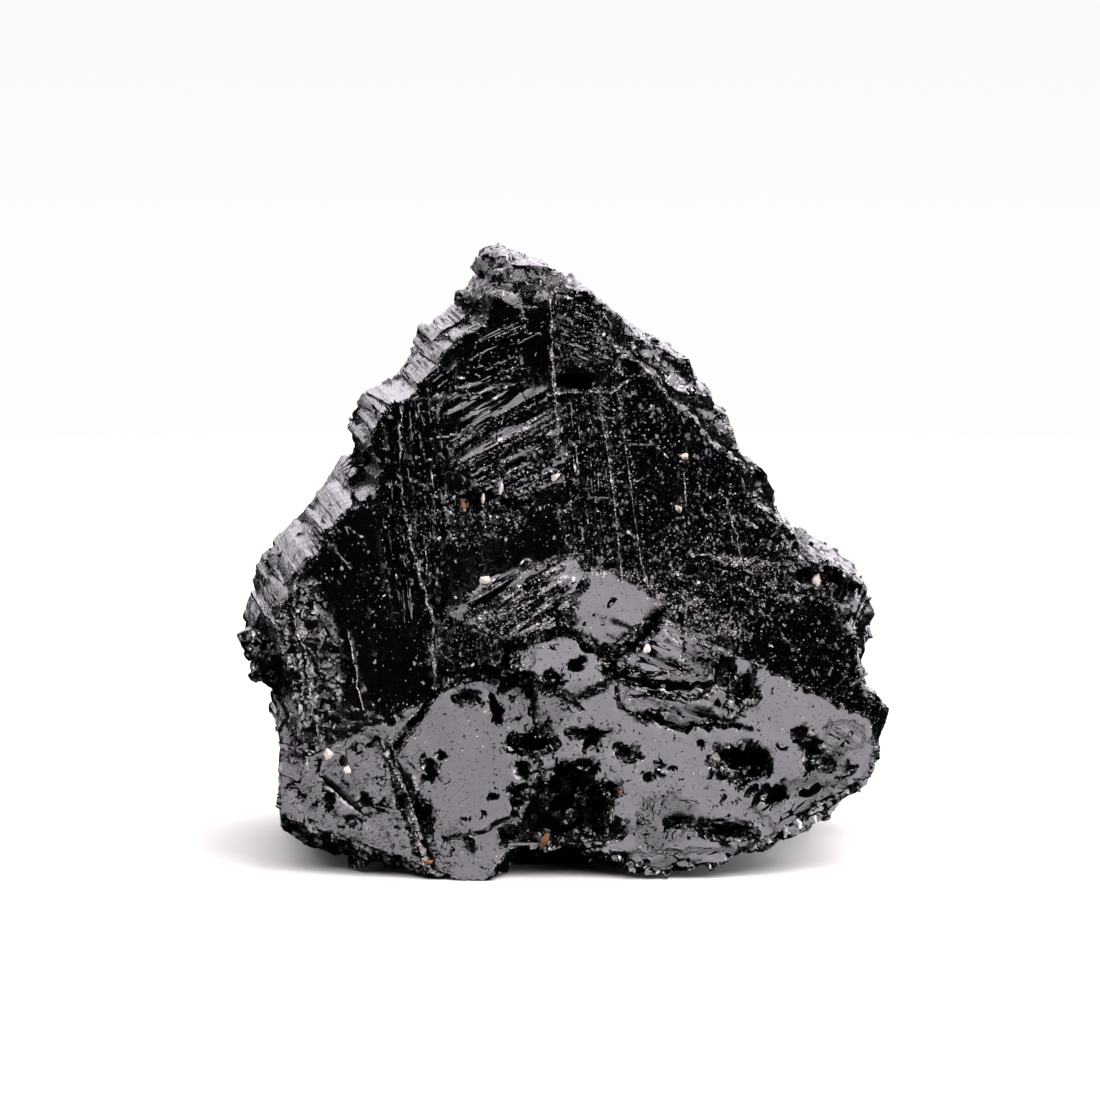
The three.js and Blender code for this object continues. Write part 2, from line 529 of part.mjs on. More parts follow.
// ---- The piece ----------------------------------------------------------------------------------
const grown = joined([
  frontSlab(),
  backColumns(),
  foot(),
  roofBlock(),
  ...CAP.map(({ at, size }, i) => lump(at, size, 40 + i)),
  ...FOOT_LUMPS.map(({ at, size }, i) => lump(at, size, 60 + i)),
  ...rightEdgeCrystals(),
  ...EDGES.flatMap(edgeCrystals),
]);
const broken = hollowed(grown, [
  ...PITS.map(({ at, size }, i) => lump(at, size, 100 + i)),
  ...CRACKS.map(({ from, to, radius }) => bar(from, to, radius, 5, 0.5)),
  wallSlot(),
  footCleft(),
]);
const detailed = joined([
  broken,
  ...wallRidges(),
  ...upperRidges(),
  ...uprightRibs(),
  ...roofRidges(),
  ...NEEDLES.map(({ from, to, radius }) => bar(from, to, radius)),
  ...CLEFT_LUMPS.map(({ at, size }, i) => lump(at, size, 80 + i)),
]);
const body = detailed.subtract(beyond([0, 0, 0], [0, 0, -1])); // the small flat that it rests on

const mass = new THREE.Mesh(
  geometryOf(body),
  new THREE.MeshStandardMaterial({ name: "schorl", color: 0x0b0b0d, roughness: 0.25, metalness: 0 }),
);
mass.name = "tourmaline_mass";

const piece = new THREE.Group();
piece.add(mass);

export default piece;
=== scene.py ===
"""Looks of a broken hand piece of black tourmaline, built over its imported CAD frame."""

import itertools
import logging
import math
from dataclasses import dataclass
from enum import Enum

import bmesh
import bpy
import numpy as np
from mathutils import Euler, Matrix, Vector
from mathutils.bvhtree import BVHTree

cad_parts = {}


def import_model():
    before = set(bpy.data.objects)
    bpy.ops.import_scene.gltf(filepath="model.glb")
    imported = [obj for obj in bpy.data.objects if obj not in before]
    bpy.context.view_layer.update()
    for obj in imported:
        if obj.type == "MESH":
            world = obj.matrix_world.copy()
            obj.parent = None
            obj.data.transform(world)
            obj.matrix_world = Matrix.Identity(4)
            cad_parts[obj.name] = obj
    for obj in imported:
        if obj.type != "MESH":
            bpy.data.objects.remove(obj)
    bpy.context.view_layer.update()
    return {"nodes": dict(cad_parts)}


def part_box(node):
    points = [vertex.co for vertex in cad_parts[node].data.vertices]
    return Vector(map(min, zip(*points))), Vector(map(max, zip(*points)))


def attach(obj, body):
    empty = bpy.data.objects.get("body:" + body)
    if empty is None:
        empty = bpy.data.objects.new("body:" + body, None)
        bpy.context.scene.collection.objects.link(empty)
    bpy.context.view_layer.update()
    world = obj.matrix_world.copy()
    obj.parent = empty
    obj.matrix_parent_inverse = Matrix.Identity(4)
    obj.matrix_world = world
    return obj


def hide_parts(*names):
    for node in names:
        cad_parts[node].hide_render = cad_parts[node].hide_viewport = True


LOG = logging.getLogger("tourmaline")
MM = 0.001
Array = np.ndarray
Point = tuple[float, float, float]
Spot = tuple[float, float]
Tree = bpy.types.NodeTree
Source = bpy.types.NodeSocket | bpy.types.Node


# ---- Colour and node helpers ----------------------------------------------------------------------
def linear(code: str) -> tuple[float, float, float, float]:
    """Turns an sRGB hex colour into linear RGBA."""
    parts = [int(code[i:i + 2], 16) / 255 for i in (1, 3, 5)]
    return (*(c / 12.92 if c <= 0.04045 else ((c + 0.055) / 1.055) ** 2.4 for c in parts), 1.0)


def node(tree: Tree, kind: str, inputs: dict | None = None, **settings: str) -> bpy.types.Node:
    """Adds one shader node with its settings and links.

    Args:
        tree: The node tree that it goes into.
        kind: The node's type name, without the ShaderNode in front.
        inputs: For each input, by name or number, a value to set, or what to link from. A node is linked
            from its first output.
        settings: Attributes of the node, set before its inputs.

    Returns:
        The new node.
    """
    made = tree.nodes.new("ShaderNode" + kind)
    for name, value in settings.items():
        setattr(made, name, value)
    for key, value in (inputs or {}).items():
        if isinstance(value, bpy.types.Node):
            value = value.outputs[0]
        if isinstance(value, bpy.types.NodeSocket):
            tree.links.new(value, made.inputs[key])
        else:
            made.inputs[key].default_value = value
    return made


# ---- Seeded noise on arrays of points -------------------------------------------------------------
def hashed(cell: Array, seed: int) -> Array:
    """Three random numbers from 0 to 1 for every whole-number cell.

    Args:
        cell: Whole-number cells, one row of two or three each.
        seed: Picks one random field out of many.

    Returns:
        One row of three numbers for every cell.
    """
    key = np.full(len(cell), seed * 2654435761 & 0xFFFFFFFF, np.int64)
    for column, prime in zip(cell.astype(np.int64).T, (73856093, 19349663, 83492791)):
        key ^= column * prime
    out = []
    for turn in (0x9E3779B1, 0x85EBCA77, 0xC2B2AE3D):
        k = (key ^ turn) & 0xFFFFFFFF
        k = ((k ^ (k >> 16)) * 0x45D9F3B) & 0xFFFFFFFF
        k = ((k ^ (k >> 16)) * 0x45D9F3B) & 0xFFFFFFFF
        out.append(((k ^ (k >> 16)) & 0xFFFFFF) / 0xFFFFFF)
    return np.stack(out, 1)


def smooth_noise(points: Array, size: float, seed: int) -> Array:
    """Soft noise from -1 to 1.

    Args:
        points: Where it is wanted, in millimetres.
        size: The width of one swell, in millimetres.
        seed: Picks one random field out of many.

    Returns:
        One number for every point.
    """
    q = points / size
    q = q + 0.31 * q[:, ::-1] * np.array([1, -1, 1])[: q.shape[1]]
    base = np.floor(q)
    f = q - base
    fade = f * f * (3 - 2 * f)
    total = np.zeros(len(q))
    for step in itertools.product((0, 1), repeat=q.shape[1]):
        corner = np.array(step)
        weight = np.prod(np.where(corner == 1, fade, 1 - fade), axis=1)
        slope = 2 * hashed(base + step, seed)[:, : q.shape[1]] - 1
        total += weight * (slope * (f - corner)).sum(1)
    return np.clip(2.2 * total, -1, 1)


def ramp(values: Array, low: float, high: float) -> Array:
    """Rises smoothly from 0 at low to 1 at high."""
    t = np.clip((values - low) / (high - low), 0, 1)
    return t * t * (3 - 2 * t)


@dataclass(frozen=True)
class Chips:
    """A surface broken into small flat chips, with gaps between.

    Size, level, gap and gap width are millimetres; slope is the steepest rise of a chip over its width.
    """

    size: float
    slope: float
    level: float
    gap: float = 0.0
    gap_width: float = 0.12
    seed: int = 1

    def height(self, points: Array, where: Array) -> Array:
        """Height of the chips, worked out only where they are wanted.

        Args:
            points: Places in millimetres, in two or three directions.
            where: How much of the chips is wanted at each place.

        Returns:
            One height in millimetres for every point.
        """
        out = np.zeros(len(points))
        chosen = np.nonzero(where > 0.01)[0]
        q = points[chosen] / self.size
        base = np.floor(q)
        nearest = np.full(len(q), 9.0)
        second = np.full(len(q), 9.0)
        height = np.zeros(len(q))
        for step in itertools.product((-1, 0, 1), repeat=q.shape[1]):
            cell = base + step
            away = q - cell - hashed(cell, self.seed)[:, : q.shape[1]]
            distance = (away ** 2).sum(1)
            closer = distance < nearest
            second = np.where(closer, nearest, np.minimum(second, distance))
            nearest = np.where(closer, distance, nearest)
            draw = hashed(cell[closer], self.seed + 1)
            tilt = 2 * draw[:, : q.shape[1]] - 1
            level = 2 * hashed(cell[closer], self.seed + 2)[:, 0] - 1
            height[closer] = self.slope * self.size * (tilt * away[closer]).sum(1) + self.level * level
        edge = (np.sqrt(second) - np.sqrt(nearest)) * self.size
        height -= self.gap * (1 - ramp(edge, 0, self.gap_width))
        out[chosen] = height * where[chosen]
        return out


@dataclass(frozen=True)
class Splinters:
    """Long flat splinters lying side by side in the front view, each with one high and one low edge.

    Long, wide and rise are the least and the most that a splinter measures, in millimetres.
    """

    middle: Spot
    half: Spot
    lie: float
    count: int
    long: Spot
    wide: Spot
    rise: Spot
    seed: int

    def height(self, front: Array) -> Array:
        """Height of the splinters above the face that they lie on.

        Args:
            front: Places in the front view as x and z, in millimetres.

        Returns:
            One height in millimetres for every point.
        """
        rng = np.random.default_rng(self.seed)
        away = front - np.array(self.middle)
        reach = max(self.half) + self.long[1]
        chosen = np.nonzero(np.abs(away).max(1) < reach)[0]
        best = np.zeros(len(chosen))
        for _ in range(self.count):
            angle = math.radians(self.lie + rng.normal(0, 1.5))
            along = np.array([math.cos(angle), math.sin(angle)])
            across = np.array([-math.sin(angle), math.cos(angle)])
            start = rng.uniform(-1, 1, 2) * self.half
            length, width, rise = (rng.uniform(*pair) for pair in (self.long, self.wide, self.rise))
            u = away[chosen] @ along - start[0]
            v = away[chosen] @ across - start[1]
            end = np.clip((length / 2 - np.abs(u)) / (0.15 * length), 0, 1)
            inside = (v > 0) & (v < width)
            best = np.maximum(best, rise * end * np.where(inside, 1 - v / width, 0))
        out = np.zeros(len(front))
        out[chosen] = best
        return out


@dataclass(frozen=True)
class Line:
    """A crack or a thin ridge along a broken line in the front view; a crack's rise is negative.

    Width, rise and how far the line wanders are millimetres.
    """

    path: tuple[Spot, ...]
    width: float
    rise: float
    wander: float = 0.15

    def across(self, front: Array, seed: int) -> tuple[Array, Array]:
        """How far each place lies to the right of the line, where it lies close to it.

        Args:
            front: Places in the front view as x and z, in millimetres.
            seed: Picks how the line wanders.

        Returns:
            The numbers of the close places, and their distances, negative on the left.
        """
        places = np.array(self.path)
        low, high = places.min(0) - 1.5, places.max(0) + 1.5
        chosen = np.nonzero(((front > low) & (front < high)).all(1))[0]
        spot = front[chosen]
        drift = np.stack([smooth_noise(spot, 0.9, seed), smooth_noise(spot, 0.9, seed + 1)], 1)
        spot = spot + self.wander * drift
        nearest = np.full(len(spot), 99.0)
        for start, end in zip(places[:-1], places[1:]):
            run = end - start
            share = np.clip((spot - start) @ run / (run @ run), 0, 1)
            away = spot - start - share[:, None] * run
            side = np.sign(away[:, 1] * run[0] - away[:, 0] * run[1]) * -1
            distance = np.linalg.norm(away, axis=1)
            closer = distance < np.abs(nearest)
            nearest = np.where(closer, side * distance, nearest)
        return chosen, nearest


@dataclass(frozen=True)
class Patch:
    """A soft-edged oval in the front view: its middle, half sizes and turn."""

    middle: Spot
    half: Spot
    lie: float = 0.0

    def reach(self, front: Array) -> Array:
        """How far out each place lies, where the oval's edge counts as 1.

        Args:
            front: Places in the front view as x and z, in millimetres.

        Returns:
            One number for every point.
        """
        angle = math.radians(self.lie)
        turn = np.array([[math.cos(angle), -math.sin(angle)], [math.sin(angle), math.cos(angle)]])
        away = (front - np.array(self.middle)) @ turn / np.array(self.half)
        return np.linalg.norm(away, axis=1)

    def share(self, front: Array) -> Array:
        """How far each place lies inside, with a ragged edge.

        Args:
            front: Places in the front view as x and z, in millimetres.

        Returns:
            Shares from 0 to 1.
        """
        ragged = 0.18 * smooth_noise(front, 1.1, 91)
        return 1 - ramp(self.reach(front) + ragged, 0.85, 1.1)

    def depth(self, front: Array) -> Array:
        """How deep each place lies inside, falling evenly from 1 in the middle to 0 well outside."""
        return np.clip(1 - 0.6 * self.reach(front), 0, 1)


@dataclass(frozen=True)
class Flakes:
    """A soft-edged patch of the front that is split into flakes.

    Long and wide are one flake's size in millimetres, and lit is the share that is turned to the light.
    """

    middle: Spot
    half: Spot
    lie: float
    long: float
    wide: float
    lit: float

    def place(self, points: Array) -> Array:
        """Places measured along, across and into the flakes, one flake being about one unit.

        Args:
            points: Places in millimetres.

        Returns:
            One row of three numbers for every point.
        """
        angle = math.radians(self.lie)
        x, y, z = (points - np.array([self.middle[0], 0, self.middle[1]])).T
        along = x * math.cos(angle) + z * math.sin(angle)
        across = z * math.cos(angle) - x * math.sin(angle)
        return np.stack([along / self.long, across / self.wide, y / self.long + 10 * self.lit], 1)


# ---- The stone ------------------------------------------------------------------------------------
@dataclass(frozen=True)
class Plane:
    """A broken plane that looks forward: it leans back by tilt and is turned about the upright."""

    tilt: float
    turn: float

    def normal(self) -> Array:
        """Outward unit normal."""
        t, a = math.radians(self.tilt), math.radians(self.turn)
        return np.array([math.sin(a) * math.cos(t), -math.cos(a) * math.cos(t), math.sin(t)])


# How each kind of ground is broken, from the coarsest down.
SIDE_STEPS = Chips(2.1, 0.2, 0.15, seed=11)
SIDE_RIBS = Chips(0.6, 0.12, 0.03, seed=12)
WALL_PLATES = Chips(2.6, 0.06, 0.02, seed=14)
WALL_FIBRES = Chips(0.55, 0.25, 0.04, seed=15)
WALL_HACKLES = Chips(0.9, 0.3, 0.08, gap=0.1, seed=16)
LOOSE_BLOCKS = Chips(1.6, 0.4, 0.14, seed=31)
LOOSE_CRUMBS = Chips(0.6, 0.22, 0.03, seed=34)
FOOT_PLATES = Chips(1.6, 0.05, 0.03, seed=41)
# Runs of splinters over the front, from the top down.
WALL_SPLINTERS = (
    Splinters((-5.6, 36.6), (4.2, 1.9), 27, 14, (2.5, 7.0), (0.4, 0.8), (0.08, 0.16), 103),
    Splinters((-5.2, 34.4), (4.4, 1.6), 27, 14, (3.5, 9.0), (0.5, 0.9), (0.12, 0.22), 104),
    Splinters((-3.6, 32.2), (4.2, 2.4), 27, 26, (3.5, 8.0), (0.45, 0.8), (0.1, 0.2), 105),
    Splinters((-11.6, 38.6), (2.6, 1.4), 38, 10, (0.8, 2.4), (0.4, 0.6), (0.15, 0.3), 106),
)
BLOCK_SPLINTERS = (
    Splinters((-3.7, 20.8), (3.4, 1.7), 31, 26, (3.0, 7.5), (0.6, 1.1), (0.14, 0.28), 111),
)
LAYER_SPLINTERS = (
    Splinters((8.6, 17.0), (4.6, 1.4), -24, 16, (1.8, 5.0), (0.5, 0.9), (0.02, 0.05), 121),
    Splinters((10.2, 13.4), (4.8, 1.3), -18, 16, (2.0, 5.5), (0.5, 0.9), (0.02, 0.05), 122),
)
# Where the surface is split into fine flakes, with the flakes' own length, width and lie.
FLAKES = (
    Flakes((-4.8, 41.6), (3.9, 3.6), 24, 2.4, 0.16, 0.09),
    Flakes((1.2, 42.8), (1.7, 2.8), -20, 1.2, 0.16, 0.32),
    Flakes((-5.4, 36.4), (4.6, 2.0), 27, 4.5, 0.28, 0.45),
    Flakes((-4.2, 32.6), (4.9, 2.8), 27, 6.0, 0.3, 0.82),
    Flakes((-11.6, 38.6), (2.8, 1.6), 38, 1.4, 0.2, 0.25),
    Flakes((3.4, 37.0), (1.3, 1.7), -24, 1.6, 0.16, 0.2),
    Flakes((-12.4, 29.0), (2.4, 10.0), 96, 2.2, 0.12, 0.1),
    Flakes((1.6, 31.5), (2.0, 6.2), 96, 1.8, 0.12, 0.14),
    Flakes((-8.0, 17.4), (2.9, 3.2), 93, 1.8, 0.2, 0.97),
    Flakes((-4.6, 16.6), (1.9, 1.2), 60, 0.9, 0.18, 0.85),
    Flakes((-3.7, 20.8), (4.3, 2.5), 31, 3.4, 0.46, 0.52),
    Flakes((8.6, 17.0), (4.9, 1.7), -24, 2.8, 0.46, 0.97),
    Flakes((10.2, 13.4), (5.2, 1.6), -18, 3.4, 0.46, 0.97),
    Flakes((22.4, 10.6), (1.5, 1.0), -35, 2.4, 0.24, 0.97),
    Flakes((23.8, 20.8), (1.9, 3.0), 80, 1.8, 0.5, 0.97),
    Flakes((20.6, 24.2), (3.2, 0.9), -28, 2.4, 0.4, 0.75),
    Flakes((20.4, 5.2), (4.4, 1.9), 36, 2.2, 0.8, 0.85),
    Flakes((10.6, 1.2), (6.0, 1.0), 6, 2.2, 0.7, 0.75),
)
# Where a break is full of pits and thin cracks, and where broken ground is tilted up to the light.
PITTED = (
    Patch((-17.2, 7.4), (5.8, 6.6), 20), Patch((-13.0, 2.6), (6.0, 2.4)),
    Patch((-20.6, 17.4), (2.8, 6.6), 10), Patch((-2.6, 13.2), (3.4, 2.2)),
    Patch((11.6, 16.8), (2.6, 1.6), -40), Patch((21.0, 8.0), (2.0, 1.4), 40),
    Patch((8.0, 4.4), (3.0, 2.0), 20),
)
LIFTED = (
    Patch((-20.6, 17.0), (2.6, 6.2), 10), Patch((-20.6, 7.0), (2.6, 6.0)), Patch((23.6, 20.6), (1.8, 2.4)),
    Patch((-3.2, 20.6), (4.6, 1.9), 26), Patch((20.4, 24.4), (3.0, 0.8), -28),
    Patch((23.7, 20.8), (1.0, 2.4)),
)
# The rims under the bright planes, where the break turns down and under in small steps.
RIMS = (
    Patch((9.0, 1.2), (4.6, 1.0), 4), Patch((15.4, 2.6), (4.4, 1.2), 18), Patch((20.6, 5.4), (4.2, 1.7), 40),
    Patch((24.6, 9.4), (1.6, 3.0), -12), Patch((-17.4, 1.8), (5.6, 1.7), -12),
    Patch((-22.2, 5.6), (1.6, 3.2)),
    Patch((-10.0, 0.6), (3.0, 0.8)),
)
# Rounded rough ground of the back crystals, seen past the front slab's right edge.
LUMPY = (
    Patch((1.8, 45.4), (2.4, 0.8), -20), Patch((8.2, 39.6), (4.4, 1.5), -42),
    Patch((13.0, 35.0), (3.6, 1.5), -52), Patch((16.8, 29.4), (3.4, 1.3), -50),
    Patch((20.0, 25.4), (3.4, 1.4), -40), Patch((23.6, 20.6), (1.5, 3.0)), Patch((24.6, 15.4), (1.0, 2.0)),
)
# The rough dark cap on the apex.
CAP = (Patch((-4.0, 47.0), (5.4, 2.6)), Patch((-6.6, 44.6), (1.6, 1.6)))
# Ground crushed to crumbs, split into small flakes and dotted with pale specks that are partly painted
# highlights.
CRUMBLED = (
    Patch((4.0, 22.9), (3.2, 0.5), -6), Patch((7.8, 21.2), (1.6, 0.9), -40),
    Patch((12.9, 18.9), (2.0, 0.8), -25), Patch((10.6, 20.6), (1.8, 0.8), -40),
    Patch((3.4, 37.4), (2.4, 0.4), 8), Patch((14.6, 24.0), (3.0, 0.45), -6),
    Patch((17.4, 22.0), (2.0, 0.5), -30), Patch((4.6, 40.8), (2.2, 0.5), -20),
)
# Long ridges, kept mostly free of dust specks, painted glint specks and turned glinting chips.
CLEAN = (Patch((-4.6, 33.4), (5.2, 4.4), 27),)
# Black hollows broken out of the planes, with ragged edges.
HOLES = (
    Patch((1.2, 38.3), (2.3, 0.75), 2), Patch((5.4, 39.4), (0.9, 0.7)), Patch((-7.3, 28.5), (0.75, 0.85)),
    Patch((-6.0, 29.3), (0.45, 0.8)), Patch((-4.3, 28.7), (0.8, 0.8)), Patch((-2.6, 29.4), (0.6, 0.5)),
    Patch((21.4, 22.1), (1.5, 1.0), -20), Patch((-16.9, 31.2), (1.3, 1.7), -40),
    Patch((15.9, 30.0), (0.5, 0.7)),
    Patch((-2.9, 9.7), (2.2, 0.85), -5), Patch((2, 10.1), (0.8, 0.7), 30),
    Patch((-7.8, 13.4), (1, 0.6), 10), Patch((-5.6, 12.5), (0.45, 1.1), 20),
    Patch((-4.7, 14.2), (0.9, 0.5), 30), Patch((-3.6, 15), (0.7, 0.7), 0),
    Patch((-2.7, 13.6), (0.65, 0.5), 0), Patch((-1.4, 14.4), (0.65, 0.5), 0),
    Patch((-0.9, 15.1), (1.0, 0.55), -10), Patch((0.9, 16.1), (1.0, 0.5), 15),
    Patch((4.7, 9.4), (1.1, 0.7), -20), Patch((6.6, 7.6), (0.5, 0.45), 0),
    Patch((14.2, 13.9), (1, 1.9), -35), Patch((19.8, 9.3), (0.8, 1.4), -20),
    Patch((9, 4.1), (1, 0.35), -25), Patch((13, 3.5), (2.1, 0.6), 12), Patch((2.6, 10.8), (1.2, 0.36), 8),
    Patch((14.4, 8.2), (2, 1.7), -10), Patch((16.6, 6.2), (1.3, 0.7), 20), Patch((-4, 5.8), (0.5, 1.2), 10),
    Patch((2.8, 5.8), (0.7, 1.6), -10), Patch((0.8, 8.1), (1.9, 0.8), 20), Patch((-3.4, 8), (0.9, 0.8), 20),
    Patch((-14, 11.5), (0.45, 0.45), 0), Patch((-13.4, 12.2), (0.35, 0.45), 20),
    Patch((-10.8, 8), (0.8, 1.1), 20), Patch((-11.2, 4.7), (0.7, 1.3), 20),
    Patch((-13.2, 5.8), (0.55, 0.6), 0), Patch((-17.2, 4.3), (0.8, 0.45), 0),
    Patch((-18.8, 5.8), (0.5, 0.7), 0), Patch((-16, 5.8), (0.55, 0.8), 30), Patch((-10, 9), (0.45, 0.4), 0),
    Patch((-5.8, 6.1), (0.5, 0.35), 10), Patch((21.2, 5.8), (0.7, 0.4), 30),
    Patch((22.9, 8), (0.7, 0.45), 30), Patch((10.9, 10.1), (0.4, 0.35), 0),
)
LINES = (
    Line(((-1.1, 45.6), (-1.0, 41), (-0.8, 36.2), (-0.5, 33.4)), 0.07, 0.14, 0.06),
    Line(((2.8, 37.0), (3.8, 30.5), (4.6, 22.9)), 0.05, 0.08, 0.06),
    Line(((4.4, 37.0), (6.1, 24.2), (6.9, 21.8)), 0.05, 0.08, 0.06),
    Line(((9.6, 31.2), (9.8, 28.6)), 0.05, 0.08, 0.05),
    Line(((12.6, 29.6), (13.9, 26.6), (14.2, 24.2)), 0.06, 0.1, 0.2),
    Line(((10.4, 24.7), (13.2, 24.2), (16.6, 23.9)), 0.08, 0.1, 0.5),
    Line(((-0.9, 39.1), (-0.9, 37.5), (3.6, 37.5), (5.0, 38.4)), 0.08, 0.1, 0.2),
    Line(((-13.2, 37.2), (-13.3, 30.8), (-12.1, 24.4), (-10.7, 19.5), (-10.5, 13.9)), 0.08, 0.2, 0.2),
    Line(((-21.6, 23.4), (-21.8, 20), (-20.6, 16.4), (-20.4, 12.4), (-19.6, 9.6)), 0.07, 0.16, 0.3),
    Line(((-17.4, 18.6), (-16.6, 14.2), (-16.2, 12.6)), 0.05, 0.08, 0.2),
    Line(((-10.3, 13.8), (-13.7, 9.6)), 0.3, -0.3, 0.05),
    Line(((-14.7, 10.1), (-12.5, 5.8), (-11.2, 0.9)), 0.08, 0.1, 0.03),
    Line(((-14.1, 9.6), (-11.9, 5.4), (-10.5, 0.9)), 0.16, -0.2, 0.05),
    Line(((-19.4, 7.3), (-16.4, 5.0)), 0.14, -0.15, 0.1),
    Line(((-5.9, 13.4), (-5.2, 11.6)), 0.26, -0.3, 0.1),
    Line(((-0.2, 19.1), (2.0, 17.3), (3.7, 16.1)), 0.1, -0.2, 0.25),
    Line(((3.7, 16.1), (6.1, 17.9), (8.3, 20.4)), 0.26, -0.35, 0.25),
    Line(((3.1, 15.7), (6.0, 14.6), (9.3, 14.2), (12.1, 14.6)), 0.14, -0.2, 0.35),
    Line(((6.8, 12.3), (8.8, 11.3), (13.7, 11.4)), 0.22, -0.3, 0.3),
    Line(((-4.0, 4.6), (-6.6, 3.4), (-9.8, 2.8)), 0.06, -0.1, 0.2),
)
STREAKED = (Patch((-12.4, 29.0), (2.6, 10.5), -6), Patch((1.6, 31.5), (2.2, 6.4), -6))
GLINTING = (
    Patch((14.0, 24.4), (6.5, 4.4), -25), Patch((2.4, 31.0), (3.0, 8.0)),
    Patch((-6.6, 17.4), (3.6, 2.6), 10),
    Patch((-8.4, 27.6), (6.0, 2.2)), Patch((9.0, 21.6), (4.5, 2.6), -40), Patch((1.6, 42.6), (2.2, 3.2)),
)
HACKLY = (
    Patch((-20.4, 17.4), (2.6, 6.6), 10), Patch((-17.6, 8.4), (5.0, 4.4), 20),
    Patch((-15.0, 4.4), (4.4, 3.6)),
    Patch((18.0, 23.8), (3.6, 2.2), -30),
)


